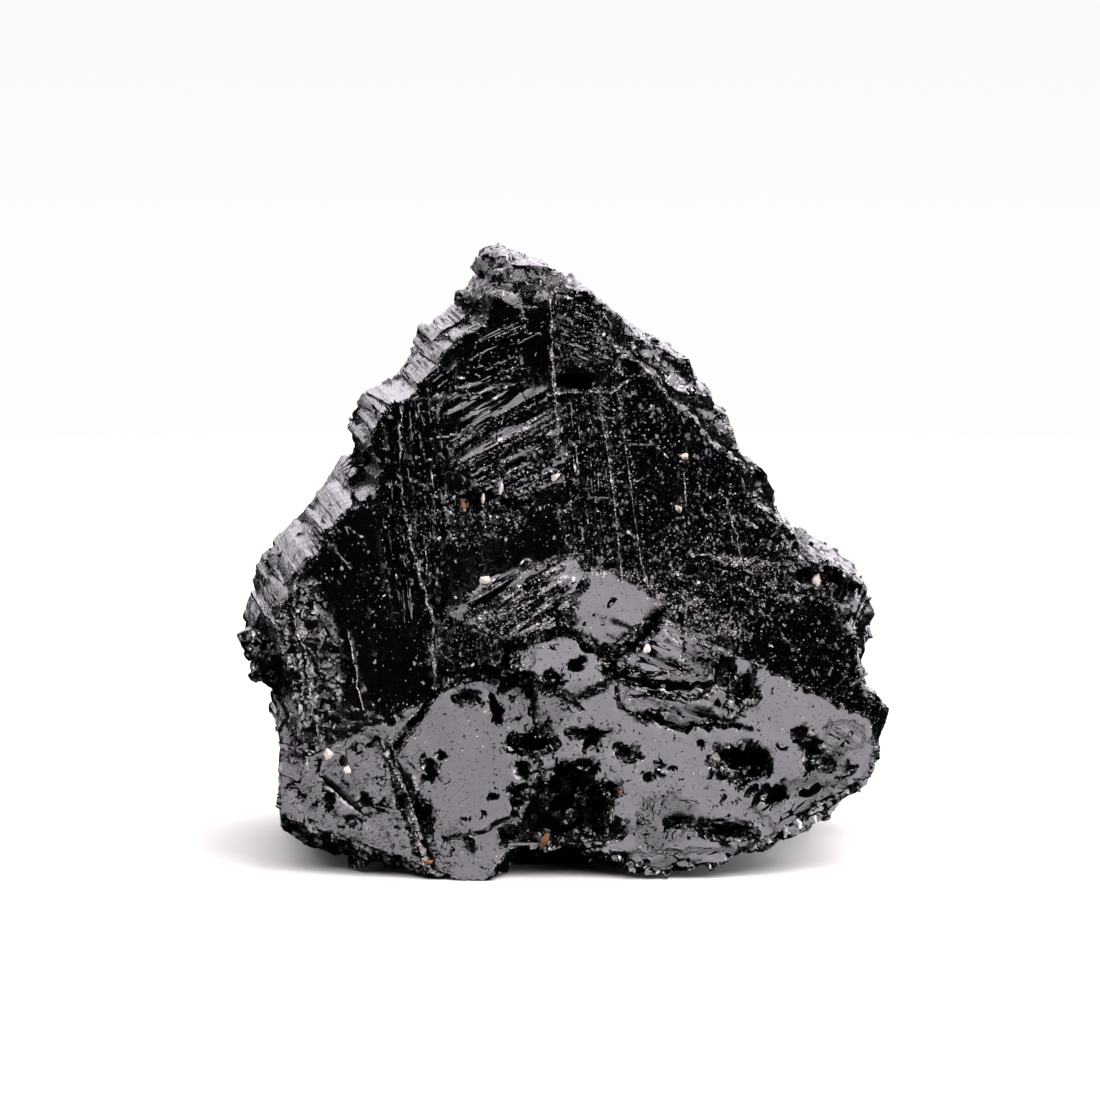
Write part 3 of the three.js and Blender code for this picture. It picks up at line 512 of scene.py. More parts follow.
@dataclass
class Tourmaline:
    """The whole stone, as one finely broken mesh over the CAD solid; sizes are millimetres and degrees."""

    voxel: float = 0.15
    triangles: int = 192_000
    keep_front: float = 1e-4
    bright_planes: tuple[Plane, ...] = (Plane(32, -2), Plane(26.5, 2), Plane(28.7, 6))
    axis_lean: float = -0.15
    crease_angle: float = 30
    rest_height: float = 0.3
    foot_swell: float = 0.015
    lump: float = 0.3
    hole_depth: float = 0.3
    flake: float = 0.7
    growth_step: float = 0.26
    wall_flake: Point = (0.24, 0.9, 0.34)
    node_name: str = "tourmaline_mass"

    def build(self, cad: bpy.types.Object) -> bpy.types.Object:
        """Builds the stone's mesh over the CAD node, which isn't changed.

        Args:
            cad: The CAD node.

        Returns:
            The new object.
        """
        low, high = (np.array(corner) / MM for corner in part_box(self.node_name))
        mesh = self.evened(cad)
        count = len(mesh.vertices)
        points, normals = np.zeros(count * 3), np.zeros(count * 3)
        mesh.vertices.foreach_get("co", points)
        mesh.vertex_normals.foreach_get("vector", normals)
        points, normals = points.reshape(-1, 3) / MM, normals.reshape(-1, 3)
        face = Faces.read(self, points, normals)
        moved = points + normals * self.relief(points, face)[:, None]
        moved = np.clip(moved, low, high)
        resting = points[:, 2] < self.rest_height
        moved[resting, 2] = points[resting, 2]
        mesh.vertices.foreach_set("co", (moved * MM).ravel())
        flaky, lit, place = self.flakes(points, face)
        line_near, line_across, line_rise, line_width = self.lines(face)
        marks = {
            "bright_break": face.bright, "glint": face.glint, "growth_side": face.side, "edge": face.edge,
            "flaky": flaky, "flake_lit": lit, "hole": face.hole, "pitted": face.pitted,
            "lifted": face.lifted, "bruised": face.bruised, "line_across": line_across,
            "line_near": line_near * np.sign(line_rise), "line_width": line_width,
        }
        for name, values in marks.items():
            mesh.attributes.new(name, "FLOAT", "POINT").data.foreach_set("value", values)
        mesh.attributes.new("flake_place", "FLOAT_VECTOR", "POINT").data.foreach_set("vector", place.ravel())
        stone = bpy.data.objects.new("tourmaline", mesh)
        bpy.context.scene.collection.objects.link(stone)
        thin = stone.vertex_groups.new(name="thin_out")
        plainness = np.ceil(4 * ramp(normals[:, 1], -0.4, 0.5)) / 4
        for share in (0.0, 0.25, 0.5, 0.75, 1.0):
            thin.add(np.nonzero(plainness == share)[0].tolist(), max(share, 0.02), "REPLACE")
        return self.thinned(stone)

    def evened(self, cad: bpy.types.Object) -> bpy.types.Mesh:
        """Copies the CAD mesh and covers it evenly with small faces.

        Args:
            cad: The CAD node.

        Returns:
            A new mesh.
        """
        copy = bpy.data.objects.new("even", cad.data.copy())
        bpy.context.scene.collection.objects.link(copy)
        modifier = copy.modifiers.new("even", "REMESH")
        modifier.mode = "VOXEL"
        modifier.voxel_size = self.voxel * MM * 1
        mesh = bpy.data.meshes.new_from_object(copy.evaluated_get(bpy.context.evaluated_depsgraph_get()))
        bpy.data.objects.remove(copy)
        mesh.materials.clear()
        return mesh

    def thinned(self, stone: bpy.types.Object) -> bpy.types.Object:
        """Takes out faces where the surface is flat, and marks the sharp edges.

        Args:
            stone: The stone with all its faces.

        Returns:
            The same object.
        """
        stone.data.calc_loop_triangles()
        modifier = stone.modifiers.new("thin", "DECIMATE")
        modifier.ratio = min(1.0, self.triangles / len(stone.data.loop_triangles))
        modifier.vertex_group = "thin_out"
        modifier.vertex_group_factor = self.keep_front
        mesh = bpy.data.meshes.new_from_object(stone.evaluated_get(bpy.context.evaluated_depsgraph_get()))
        stone.modifiers.clear()
        stone.vertex_groups.clear()
        stone.data = mesh
        mesh.polygons.foreach_set("use_smooth", np.ones(len(mesh.polygons), bool))
        mesh.set_sharp_from_angle(angle=math.radians(self.crease_angle))
        return stone

    def flakes(self, points: Array, face: "Faces") -> tuple[Array, Array, Array]:
        """Where the surface is split into flakes too fine for the mesh, and how they lie.

        Args:
            points: Places in millimetres.
            face: What kind of face each point lies on.

        Returns:
            The share of flakes, the part of them that is lit, and each place measured in flakes.
        """
        stepped = face.side * (0.12 + 0.7 * ramp(smooth_noise(points, 3.4, 65), 0.05, 0.5))
        flaky = np.maximum(np.maximum(0.75 * face.loose, stepped), 0.9 * face.wall)
        flaky = np.maximum(flaky, 0.9 * face.cap)
        knots = ramp(smooth_noise(face.front, 0.9, 71), 0.25, 0.7)
        busy = np.clip(face.glinting + 0.35 * ramp(face.front[:, 0], -2, 8), 0, 1)
        on_wall = 0.01 + 0.07 * busy + 0.4 * knots * (0.1 + 0.9 * busy) + 0.5 * face.crumbled
        kinds = (
            (face.side, 0.94 - 0.6 * ramp(smooth_noise(face.front, 2.4, 63), 0.1, 0.5)),
            (face.lumpy, 0.86),
            (face.wall, on_wall),
            (face.lifted, np.where(face.lifted > 1, 0.5, 0.62)),
            (face.cap, 0.92),
        )
        lit = np.full(len(points), 0.42)
        for share, level in kinds:
            lit = np.where(share > 0.5, level, lit)
        warp = np.stack([smooth_noise(points, 0.9, 81 + i) + 0.4 * smooth_noise(points, 0.4, 84 + i)
                         for i in range(3)], 1)
        place = (points + 0.35 * warp) / self.flake
        lean = np.stack([points[:, 0] - self.axis_lean * points[:, 1], 0.02 * points[:, 1], points[:, 2]], 1)
        along = (face.side > 0.5) & (face.lumpy < 0.5) & (face.cap < 0.5)
        place = np.where(along[:, None], lean / self.growth_step, place)
        upright = (face.wall > 0.5) & (face.lifted < 0.5)
        place = np.where(upright[:, None], (points + 0.12 * warp) / np.array(self.wall_flake), place)
        best = np.zeros(len(points))
        for run in FLAKES:
            share = Patch(run.middle, run.half).share(face.front) * face.looking_out
            first = share > np.maximum(best, 0.02)
            best[first] = share[first]
            lit[first] = run.lit
            place[first] = run.place(points[first])
        return np.maximum(best, flaky * (best < 0.02)), lit, place

    def lines(self, face: "Faces") -> tuple[Array, Array, Array, Array]:
        """The thin ridges and cracks of the front.

        Args:
            face: What kind of face each point lies on.

        Returns:
            How close each point lies to a line, its distance across the line, and the line's rise and width.
        """
        count = len(face.front)
        across, rise, width = np.full(count, 9.0), np.zeros(count), np.full(count, 0.1)
        for i, line in enumerate(LINES):
            chosen, distance = line.across(face.front, 200 + 5 * i)
            closer = np.abs(distance) < np.abs(across[chosen])
            first = chosen[closer]
            across[first], rise[first], width[first] = distance[closer], line.rise, line.width
        near = (1 - ramp(np.abs(across), 0.35, 0.5)) * face.looking_out
        return near, np.clip(across, -1, 1), rise, width

    def relief(self, points: Array, face: "Faces") -> Array:
        """How far each point stands out from the CAD surface.

        Args:
            points: Places in millimetres.
            face: What kind of face each point lies on.

        Returns:
            One height in millimetres for every point.
        """
        front = face.front
        along = points * np.array([1, 0.05, 1])
        along[:, 0] -= self.axis_lean * points[:, 1]
        upright = np.stack([front[:, 0] + 0.06 * front[:, 1], 0.05 * front[:, 1]], 1)
        wall, bright = face.wall, face.bright
        loose = face.loose * (1 - 0.6 * np.maximum(face.edge, face.cap))
        broken = (
            (SIDE_STEPS, along, face.side),
            (SIDE_RIBS, along, face.side),
            (WALL_PLATES, front, wall),
            (WALL_FIBRES, upright, wall * (0.15 + 0.85 * face.streaked)),
            (WALL_HACKLES, front, wall * np.maximum(face.hackly, 0.55 * face.glinting)),
            (LOOSE_BLOCKS, points, loose),
            (LOOSE_CRUMBS, points, loose * (1 - face.behind)),
            (FOOT_PLATES, front, bright * face.hackly),
        )
        splinters = (
            (WALL_SPLINTERS, wall),
            (BLOCK_SPLINTERS, (wall + bright).clip(0, 1)),
            (LAYER_SPLINTERS, bright),
        )
        height = sum(chips.height(places, where) for chips, places, where in broken)
        height += sum(where * sum(run.height(front) for run in runs) for runs, where in splinters)
        line_near, across, line_rise, _ = self.lines(face)
        height += face.looking_out * line_rise * line_near * (1 - ramp(np.abs(across), 0.05, 0.3))
        height += self.foot_swell * bright * smooth_noise(points, 2.2, 18)
        height += self.lump * np.maximum(face.lumpy, face.cap) * smooth_noise(points, 1.9, 37)
        return height - self.hole_depth * ramp(face.hole, 0.45, 0.85)


@dataclass
class Faces:
    """What kind of face each point of the stone lies on, as shares from 0 to 1."""

    front: Array
    bright: Array
    wall: Array
    side: Array
    loose: Array
    looking_out: Array
    behind: Array
    hackly: Array
    streaked: Array
    glinting: Array
    glint: Array
    edge: Array
    lumpy: Array
    cap: Array
    crumbled: Array
    hole: Array
    pitted: Array
    lifted: Array
    bruised: Array

    @classmethod
    def read(cls, stone: Tourmaline, points: Array, normals: Array) -> "Faces":
        """Tells the faces apart by where they lie and which way they look.

        Args:
            stone: The stone, for its broken planes.
            points: Places in millimetres.
            normals: Unit normals there.

        Returns:
            The shares.
        """
        front = points[:, [0, 2]]
        match = np.max([normals @ plane.normal() for plane in stone.bright_planes], axis=0)
        bright = ramp(match, 0.95, 0.985)
        looking_out = ramp(-normals[:, 1], 0.3, 0.6)
        wall = ramp(-normals[:, 1], 0.86, 0.95) * (1 - bright)
        side = ramp(1 - np.abs(normals[:, 1]), 0.5, 0.75) * ramp(points[:, 2], 1, 4)
        hackly, streaked, glinting, pitted, lifted, rims, lumpy, cap, crumbled, clean = (
            np.max([patch.share(front) for patch in patches], axis=0)
            for patches in (HACKLY, STREAKED, GLINTING, PITTED, LIFTED, RIMS, LUMPY, CAP, CRUMBLED, CLEAN)
        )
        lifted = np.maximum(lifted, 1.7 * rims * ramp(-normals[:, 2], 0.0, 0.3))
        behind = ramp(normals[:, 1], 0.1, 0.35)
        side *= 1 - behind
        edge, rough_side = side, side * ramp(front[:, 0], 0, 3)
        side = side - rough_side
        wall *= 1 - lumpy
        clouds = 0.5 + 0.5 * smooth_noise(front, 3.2, 61)
        # Share of dust specks and painted glint specks on the wall; it also sets how many chips are turned
        # to glint.
        dust_and_painted_glint_share = (0.06 + 0.22 * clouds + 0.95 * glinting + 0.42 * ramp(front[:, 0], -2, 8)) * wall
        dust_and_painted_glint_share *= 1 - 0.75 * clean
        return cls(
            front=front,
            bright=bright,
            wall=wall,
            side=side,
            loose=(1 - bright) * (1 - wall) * (1 - 0.85 * side),
            looking_out=looking_out,
            behind=behind,
            hackly=hackly,
            streaked=streaked,
            glinting=glinting,
            glint=np.clip(dust_and_painted_glint_share + 0.3 * (1 - wall) * (1 - bright) * (1 - side) + 0.06 * bright, 0, 1),
            edge=edge,
            lumpy=np.maximum(lumpy * (1 - bright) * looking_out, rough_side),
            cap=cap,
            crumbled=crumbled * wall,
            hole=np.max([patch.depth(front) for patch in HOLES], axis=0) * np.maximum(looking_out, edge),
            pitted=pitted * looking_out,
            lifted=lifted * looking_out * (1 - bright),
            # Rims of the bright planes and crumbled ground: crushed pale, and the pale specks painted there
            # also stand for highlights.
            bruised=looking_out * np.maximum(4 * bright * (1 - bright) * ramp(front[:, 1], 8, 14),
                                             0.2 * crumbled),
        )


# ---- Grains ---------------------------------------------------------------------------------------
@dataclass(frozen=True)
class Grain:
    """One small foreign grain: its place in the front view, its half sizes and how it is turned."""

    x: float
    z: float
    half: Point
    turn: float
    seed: int


@dataclass
class GrainSet:
    """Small grains of one mineral, set into the front of the stone."""

    name: str
    grains: tuple[Grain, ...]
    bury: float = 0.45
    reach: float = 60.0

    def build(self, stone: bpy.types.Object) -> bpy.types.Object:
        """Sets every grain where a straight line from the front meets the stone.

        Args:
            stone: The finished stone.

        Returns:
            One object that holds all the grains.
        """
        tree = BVHTree.FromObject(stone, bpy.context.evaluated_depsgraph_get())
        vertices: list[Vector] = []
        faces: list[tuple[int, ...]] = []
        for grain in self.grains:
            start = Vector((grain.x, -self.reach, grain.z)) * MM
            place, normal, _, _ = tree.ray_cast(start, Vector((0, 1, 0)))
            centre = place - normal * (min(grain.half) * self.bury * MM)
            first = len(vertices)
            corners, sides = self.shape(grain)
            vertices += [centre + corner for corner in corners]
            faces += [tuple(first + i for i in side) for side in sides]
        mesh = bpy.data.meshes.new(self.name)
        mesh.from_pydata(vertices, [], faces)
        mesh.validate()
        made = bpy.data.objects.new(self.name, mesh)
        bpy.context.scene.collection.objects.link(made)
        return made

    def shape(self, grain: Grain) -> tuple[list[Vector], list[tuple[int, ...]]]:
        """One angular grain around the origin.

        Args:
            grain: Its sizes, turn and seed.

        Returns:
            Its corners in metres and its faces.
        """
        rng = np.random.default_rng(grain.seed)
        ball = bmesh.new()
        bmesh.ops.create_icosphere(ball, subdivisions=3, radius=1.0)
        cut = [Vector(rng.normal(size=3)).normalized() for _ in range(12)]
        corners = []
        for vertex in ball.verts:
            reach = min([1.0] + [0.56 / max(vertex.co.dot(way), 0.01) for way in cut])
            spot = vertex.co * reach * (1.25 + 0.04 * rng.normal())
            spot = Vector(s * h for s, h in zip(spot, grain.half)) * MM
            spot.rotate(Euler((0, math.radians(grain.turn), 0)))
            corners.append(spot)
        sides = [tuple(v.index for v in face.verts) for face in ball.faces]
        ball.free()
        return corners, sides


# ---- Finishes -------------------------------------------------------------------------------------
@dataclass(frozen=True)
class Schorl:
    """Black tourmaline as it breaks: glass-bright on flat faces, hackly and glinting in between.

    The eye sees black everywhere, with grey sheets of reflected light on the flat faces and sparks on the
    rest. Chips, flakes and specks are drawn several times coarser than the real ones, so that they show.
    """

    colour: str = "#020203"
    # Colour of the pale specks: partly dust, and partly painted glints and painted highlights.
    dust_and_painted_glint_colour: str = "#9a948b"
    ior: float = 1.64
    bright_roughness: float = 0.08
    hackly_roughness: float = 0.24
    chip_mm: float = 0.08
    flake_mm: float = 0.24
    pit_mm: float = 1.0
    speck_mm: float = 0.09
    # For each grade of pit: its width in pit_mm, the level where it opens, the gain on pitted ground.
    pit_grades: tuple[Point, ...] = ((1.0, 0.635, 0.05), (0.3, 0.645, 0.03), (0.12, 0.66, 0.02))
    # How the surface is turned in hollows, on ground tilted up and on crests; and up or down in each flake.
    dark_push: Point = (0.0, -0.1, -0.9)
    lift_push: Point = (0.0, 0.0, 0.5)
    crest_push: Point = (0.0, 0.0, 0.45)
    lit_rise: Spot = (0.52, 0.05)
    rise_spread: Spot = (-0.28, -0.09)
    dark_fall: Spot = (-0.1, -0.7)
    gap_width: float = 0.13

    def build(self) -> bpy.types.Material:
        """Builds the finish.

        Returns:
            The material.
        """
        material = bpy.data.materials.new("schorl_natural_break")
        material.use_nodes = True
        tree = material.node_tree
        tree.nodes.clear()
        place = node(tree, "TexCoord").outputs["Object"]
        bright, glint, side, edge, flaky, hole, pitted, lifted, rim = (
            node(tree, "Attribute", attribute_name=name).outputs["Fac"]
            for name in ("bright_break", "glint", "growth_side", "edge", "flaky", "hole", "pitted", "lifted",
                         "bruised")
        )
        open_ground = node(tree, "Math", {0: bright, 1: lifted}, operation="MAXIMUM")
        crack, crest = self.lines(tree, place)
        # Plane rims and crests: crushed pale, and painted with pale highlight specks below.
        bruised = node(tree, "Math", {0: rim, 1: crest}, operation="MAXIMUM")
        normal = self.ground(tree, place, bright, side)
        most = node(tree, "Math", {0: glint, 1: 2.0}, operation="POWER")
        pushes = (
            self.chips(tree, place, glint, self.chip_mm, 0.2),
            self.chips(tree, place, most, self.flake_mm, 0.16),
            self.pits(tree, place, open_ground, hole, pitted, lifted),
            node(tree, "VectorMath", {0: self.dark_push, "Scale": crack}, operation="SCALE"),
            node(tree, "VectorMath", {0: self.crest_push, "Scale": crest}, operation="SCALE"),
            self.flakes(tree, flaky, open_ground, side, edge),
        )
        for push in pushes:
            normal = node(tree, "VectorMath", {0: normal, 1: push}, operation="ADD")
        normal = node(tree, "VectorMath", {0: normal}, operation="NORMALIZE")
        cloud = node(tree, "TexNoise", {"Vector": place, "Scale": 700.0, "Detail": 5.0})
        split = node(tree, "Math", {0: pitted, 1: bruised}, operation="MAXIMUM")
        spread = node(tree, "MapRange", {
            "Value": split, "To Min": self.bright_roughness, "To Max": self.hackly_roughness,
        })
        roughness = node(tree, "Math", {0: cloud, 1: 0.05, 2: spread}, operation="MULTIPLY_ADD")
        # Pale specks painted into the base colour: some are dust, the rest are painted glints where glint is
        # high and painted highlights on crests and plane rims.
        specks = node(tree, "TexVoronoi", {"Vector": place, "Scale": 1 / (self.speck_mm * MM)})
        draw = node(tree, "TexWhiteNoise", {"Vector": specks.outputs["Position"]})
        painted_glint_density = node(tree, "Math", {0: glint, 1: 0.006}, operation="MULTIPLY")
        limit = node(tree, "Math", {0: bruised, 1: 0.25, 2: painted_glint_density}, operation="MULTIPLY_ADD")
        dust_and_painted_glint_share = node(tree, "Math", {0: draw, 1: limit}, operation="LESS_THAN")
        colour = node(tree, "Mix", {
            "Factor": dust_and_painted_glint_share, 6: linear(self.colour), 7: linear(self.dust_and_painted_glint_colour),
        }, data_type="RGBA")
        shader = node(tree, "BsdfPrincipled", {
            "Base Color": colour.outputs[2],
            "Roughness": roughness,
            "IOR": self.ior,
            "Normal": normal,
        })
        node(tree, "OutputMaterial", {"Surface": shader})
        return material

    def ground(self, tree: Tree, place: Source, bright: Source, side: Source) -> Source:
        """Fine unevenness: growth lines on the crystals' sides, a faint grain everywhere else.

        Args:
            tree: The material's nodes.
            place: Where the pattern is read.
            bright: How far each place belongs to a flat bright break.
            side: How far each place belongs to a crystal's side.

        Returns:
            The normal.
        """
        # The growth lines run along the crystals and are about 0.4 mm apart.
        drawn = node(tree, "Mapping", {
            "Vector": place, "Rotation": (0, 0, math.radians(8.5)), "Scale": (1, 0.03, 1),
        })
        lines = node(tree, "TexNoise", {
            "Vector": drawn, "Scale": 2600.0, "Detail": 3.0, "Roughness": 0.7,
        })
        growth = node(tree, "Bump", {"Height": lines, "Strength": side, "Distance": 0.14 * MM})
        grain = node(tree, "TexNoise", {
            "Vector": place, "Scale": 1500.0, "Detail": 5.0, "Roughness": 0.65,
        })
        depth = node(tree, "MapRange", {"Value": bright, "To Min": 0.2, "To Max": 0.09})
        return node(tree, "Bump", {
            "Height": grain, "Strength": depth, "Distance": 0.12 * MM, "Normal": growth,
        })

    def chips(self, tree: Tree, place: Source, glint: Source, size: float, share: float) -> Source:
        """Tiny chips, of which a few are turned out of the surface, so that they catch the light.

        Args:
            tree: The material's nodes.
            place: Where the pattern is read.
            glint: How many chips are turned at each place.
            size: The width of one chip, in millimetres.
            share: The part of the chips that is turned where there are most.

        Returns:
            How far each place's normal is pushed.
        """
        bend = node(tree, "TexNoise", {"Vector": place, "Scale": 0.8 / (size * MM), "Detail": 2.0})
        bent = node(tree, "VectorMath", {
            0: bend.outputs["Color"], 1: (1.6 * size * MM,) * 3, 2: place,
        }, operation="MULTIPLY_ADD")
        cells = node(tree, "TexVoronoi", {"Vector": bent, "Scale": 1 / (size * MM)})
        draw = node(tree, "TexWhiteNoise", {"Vector": cells.outputs["Position"]})
        limit = node(tree, "Math", {0: glint, 1: share}, operation="MULTIPLY")
        turned = node(tree, "Math", {0: draw, 1: limit}, operation="LESS_THAN")
        centred = node(tree, "VectorMath", {0: cells.outputs["Color"], 1: (0.5, 0.5, 0.5)},
                       operation="SUBTRACT")
        amount = node(tree, "Math", {0: turned, 1: 1.7}, operation="MULTIPLY")
        return node(tree, "VectorMath", {0: centred, "Scale": amount}, operation="SCALE")

    def pits(self, tree: Tree, place: Source, open_ground: Source, hole: Source, pitted: Source,
             lifted: Source) -> Source:
        """Dark pits and thin curling cracks in the broken planes, and ground tilted up to the light.

        Args:
            tree: The material's nodes.
            place: Where the pattern is read.
            open_ground: How far each place looks up to the light.
            hole: How deep each place lies in a hollow.
            pitted: How far each place is full of pits.
            lifted: How far each place is tilted up.

        Returns:
            How far each place's normal is pushed.
        """
        inside = []
        for size, limit, drop in self.pit_grades:
            spots = node(tree, "TexNoise", {
                "Vector": place, "Scale": 1 / (size * self.pit_mm * MM), "Detail": 4.0, "Roughness": 0.62,
                "Distortion": 0.6,
            })
            more = node(tree, "Math", {0: pitted, 1: drop, 2: spots}, operation="MULTIPLY_ADD")
            inside.append(node(tree, "MapRange", {
                "Value": more, "From Min": limit, "From Max": limit + 0.008,
            }))
        curl = node(tree, "TexNoise", {
            "Vector": place, "Scale": 0.6 / (self.pit_mm * MM), "Detail": 5.0, "Roughness": 0.55,
            "Distortion": 0.8,
        })
        middle = node(tree, "Math", {0: curl, 1: 0.5}, operation="SUBTRACT")
        off = node(tree, "Math", {0: middle}, operation="ABSOLUTE")
        thin = node(tree, "MapRange", {
            "Value": off, "From Min": 0.006, "From Max": 0.012, "To Min": 1.0, "To Max": 0.0,
        })
        dark = node(tree, "Math", {0: thin, 1: pitted}, operation="MULTIPLY")
        for spots in inside:
            dark = node(tree, "Math", {0: dark, 1: spots}, operation="MAXIMUM")
        amount = node(tree, "Math", {0: dark, 1: open_ground}, operation="MULTIPLY")
        ragged = node(tree, "TexNoise", {
            "Vector": place, "Scale": 1.7 / (self.pit_mm * MM), "Detail": 5.0, "Roughness": 0.68,
            "Distortion": 0.7,
        })
        facets = node(tree, "TexVoronoi", {"Vector": place, "Scale": 1.5 / (self.pit_mm * MM)})
        bitten = node(tree, "Math", {0: facets.outputs["Color"], 1: 0.75, 2: hole},
                      operation="MULTIPLY_ADD")
        rim = node(tree, "Math", {0: ragged, 1: 2.0, 2: bitten}, operation="MULTIPLY_ADD")
        hollow = node(tree, "MapRange", {"Value": rim, "From Min": 1.86, "From Max": 1.88})
        amount = node(tree, "Math", {0: amount, 1: hollow}, operation="MAXIMUM")
        down = node(tree, "VectorMath", {0: self.dark_push, "Scale": amount}, operation="SCALE")
        up = node(tree, "VectorMath", {0: self.lift_push, "Scale": lifted}, operation="SCALE")
        return node(tree, "VectorMath", {0: up, 1: down}, operation="ADD")

    def lines(self, tree: Tree, place: Source) -> tuple[Source, Source]:
        """Thin broken lines: dark cracks, and crests crushed pale, on which pale highlight specks are
        painted.

        Args:
            tree: The material's nodes.
            place: Where the pattern is read.

        Returns:
            How far each place lies in a crack, and on a crest.
        """
        near, across, width = (
            node(tree, "Attribute", attribute_name=name).outputs["Fac"]
            for name in ("line_near", "line_across", "line_width")
        )
        worn = node(tree, "TexNoise", {"Vector": place, "Scale": 1500.0, "Detail": 4.0})
        spread = node(tree, "MapRange", {
            "Value": worn, "From Min": 0.4, "From Max": 0.65, "To Min": 0.5, "To Max": 1.3,
        })
        reach = node(tree, "Math", {0: spread, 1: width}, operation="MULTIPLY")
        away = node(tree, "Math", {0: across}, operation="ABSOLUTE")
        on_line = node(tree, "Math", {0: away, 1: reach}, operation="LESS_THAN")
        out = []
        for side in (-1.0, 1.0):
            this = node(tree, "Math", {0: near, 1: side}, operation="MULTIPLY")
            this = node(tree, "Math", {0: this, 1: 0.5}, operation="GREATER_THAN")
            out.append(node(tree, "Math", {0: this, 1: on_line}, operation="MULTIPLY"))
        return out[0], out[1]

    def flakes(self, tree: Tree, flaky: Source, open_ground: Source, side: Source,
               outer: Source) -> Source:
        """Flakes and fibres with thin dark gaps between them, each turned up to the light or down.

        Args:
            tree: The material's nodes.
            flaky: How far each place is split into flakes.
            open_ground: How far each place looks up to the light.
            side: How far each place belongs to a crystal's side.
            outer: How far each place looks aside or up rather than to the front.

        Returns:
            How far each place's normal is pushed.
        """
        steady = node(tree, "Math", {0: open_ground, 1: side}, operation="MAXIMUM")
        drawn = node(tree, "Attribute", attribute_name="flake_place").outputs["Vector"]
        lit = node(tree, "Attribute", attribute_name="flake_lit").outputs["Fac"]
        wander = node(tree, "TexNoise", {"Vector": drawn, "Scale": 0.9, "Detail": 2.0})
        drawn = node(tree, "Mix", {0: 0.22, 4: drawn, 5: wander.outputs["Color"]},
                     data_type="VECTOR").outputs[1]
        cells = node(tree, "TexVoronoi", {"Vector": drawn, "Scale": 1.5})
        edge = node(tree, "TexVoronoi", {"Vector": drawn, "Scale": 1.5}, feature="DISTANCE_TO_EDGE")
        draw = node(tree, "TexWhiteNoise", {"Vector": cells.outputs["Position"]})
        turned = node(tree, "Math", {0: draw, 1: lit}, operation="LESS_THAN")
        full, less, fall = (
            node(tree, "MapRange", {"Value": value, "To Min": low, "To Max": high})
            for value, (low, high) in (
                (steady, self.lit_rise), (steady, self.rise_spread), (open_ground, self.dark_fall),
            )
        )
        other = node(tree, "SeparateColor", {0: draw.outputs["Color"]})
        rise = node(tree, "Math", {0: other.outputs[1], 1: less, 2: full}, operation="MULTIPLY_ADD")
        broad = node(tree, "MapRange", {
            "Value": wander, "From Min": 0.44, "From Max": 0.66, "To Min": 0.0, "To Max": self.gap_width,
        })
        between = node(tree, "Math", {0: edge, 1: broad}, operation="LESS_THAN")
        gap = node(tree, "Math", {0: between, 1: -0.8}, operation="MULTIPLY")
        up = node(tree, "Mix", {0: turned, 2: fall, 3: rise})
        up = node(tree, "Math", {0: up, 1: gap}, operation="ADD")
        aside = node(tree, "MapRange", {"Value": cells.outputs["Color"], "To Min": -0.15, "To Max": 0.15})
        down = node(tree, "Math", {0: turned, 1: 1.0}, operation="SUBTRACT")
        ahead = node(tree, "Math", {0: down, 1: gap}, operation="MINIMUM")
        ahead = node(tree, "Math", {0: ahead, 1: outer}, operation="MULTIPLY")
        push = node(tree, "CombineXYZ", {"X": aside, "Y": ahead, "Z": up})
        return node(tree, "VectorMath", {0: push, "Scale": flaky}, operation="SCALE")


@dataclass(frozen=True)
class GrainFinish:
    """A dull broken mineral grain: matt and slightly mottled, so it stands out from the glassy stone."""

    name: str
    light: str
    dark: str
    roughness: float = 0.55

    def build(self) -> bpy.types.Material:
        """Builds the finish.

        Returns:
            The material.
        """
        material = bpy.data.materials.new(self.name)
        material.use_nodes = True
        tree = material.node_tree
        tree.nodes.clear()
        place = node(tree, "TexCoord").outputs["Object"]
        mottle = node(tree, "TexNoise", {"Vector": place, "Scale": 2500.0, "Detail": 4.0})
        colour = node(tree, "Mix", {
            "Factor": mottle, 6: linear(self.dark), 7: linear(self.light),
        }, data_type="RGBA")
        bump = node(tree, "Bump", {"Height": mottle, "Strength": 0.4, "Distance": 0.1 * MM})
        shader = node(tree, "BsdfPrincipled", {
            "Base Color": colour.outputs[2], "Roughness": self.roughness, "Normal": bump,
        })
        node(tree, "OutputMaterial", {"Surface": shader})
        return material


@dataclass(frozen=True)
class PaperFinish:
    """Matt uncoated paper: an even pale sheet with no gloss of its own."""

    colour: str = "#a6a8a4"
    roughness: float = 0.9

    def build(self) -> bpy.types.Material:
        """Builds the finish.

        Returns:
            The material.
        """
        material = bpy.data.materials.new("paper_uncoated")
        material.use_nodes = True
        shader = material.node_tree.nodes["Principled BSDF"]
        shader.inputs["Base Color"].default_value = linear(self.colour)
        shader.inputs["Roughness"].default_value = self.roughness
        return material


# ---- Stage ----------------------------------------------------------------------------------------
class Axis(Enum):
    """The way along which the studio's light changes."""

    ACROSS = "X"
    AHEAD = "Y"
    UP = "Z"


@dataclass(frozen=True)
class Fade:
    """A strength of light that goes smoothly from low at start to high at end, along one axis."""

    axis: Axis
    start: float
    end: float
    low: float
    high: float


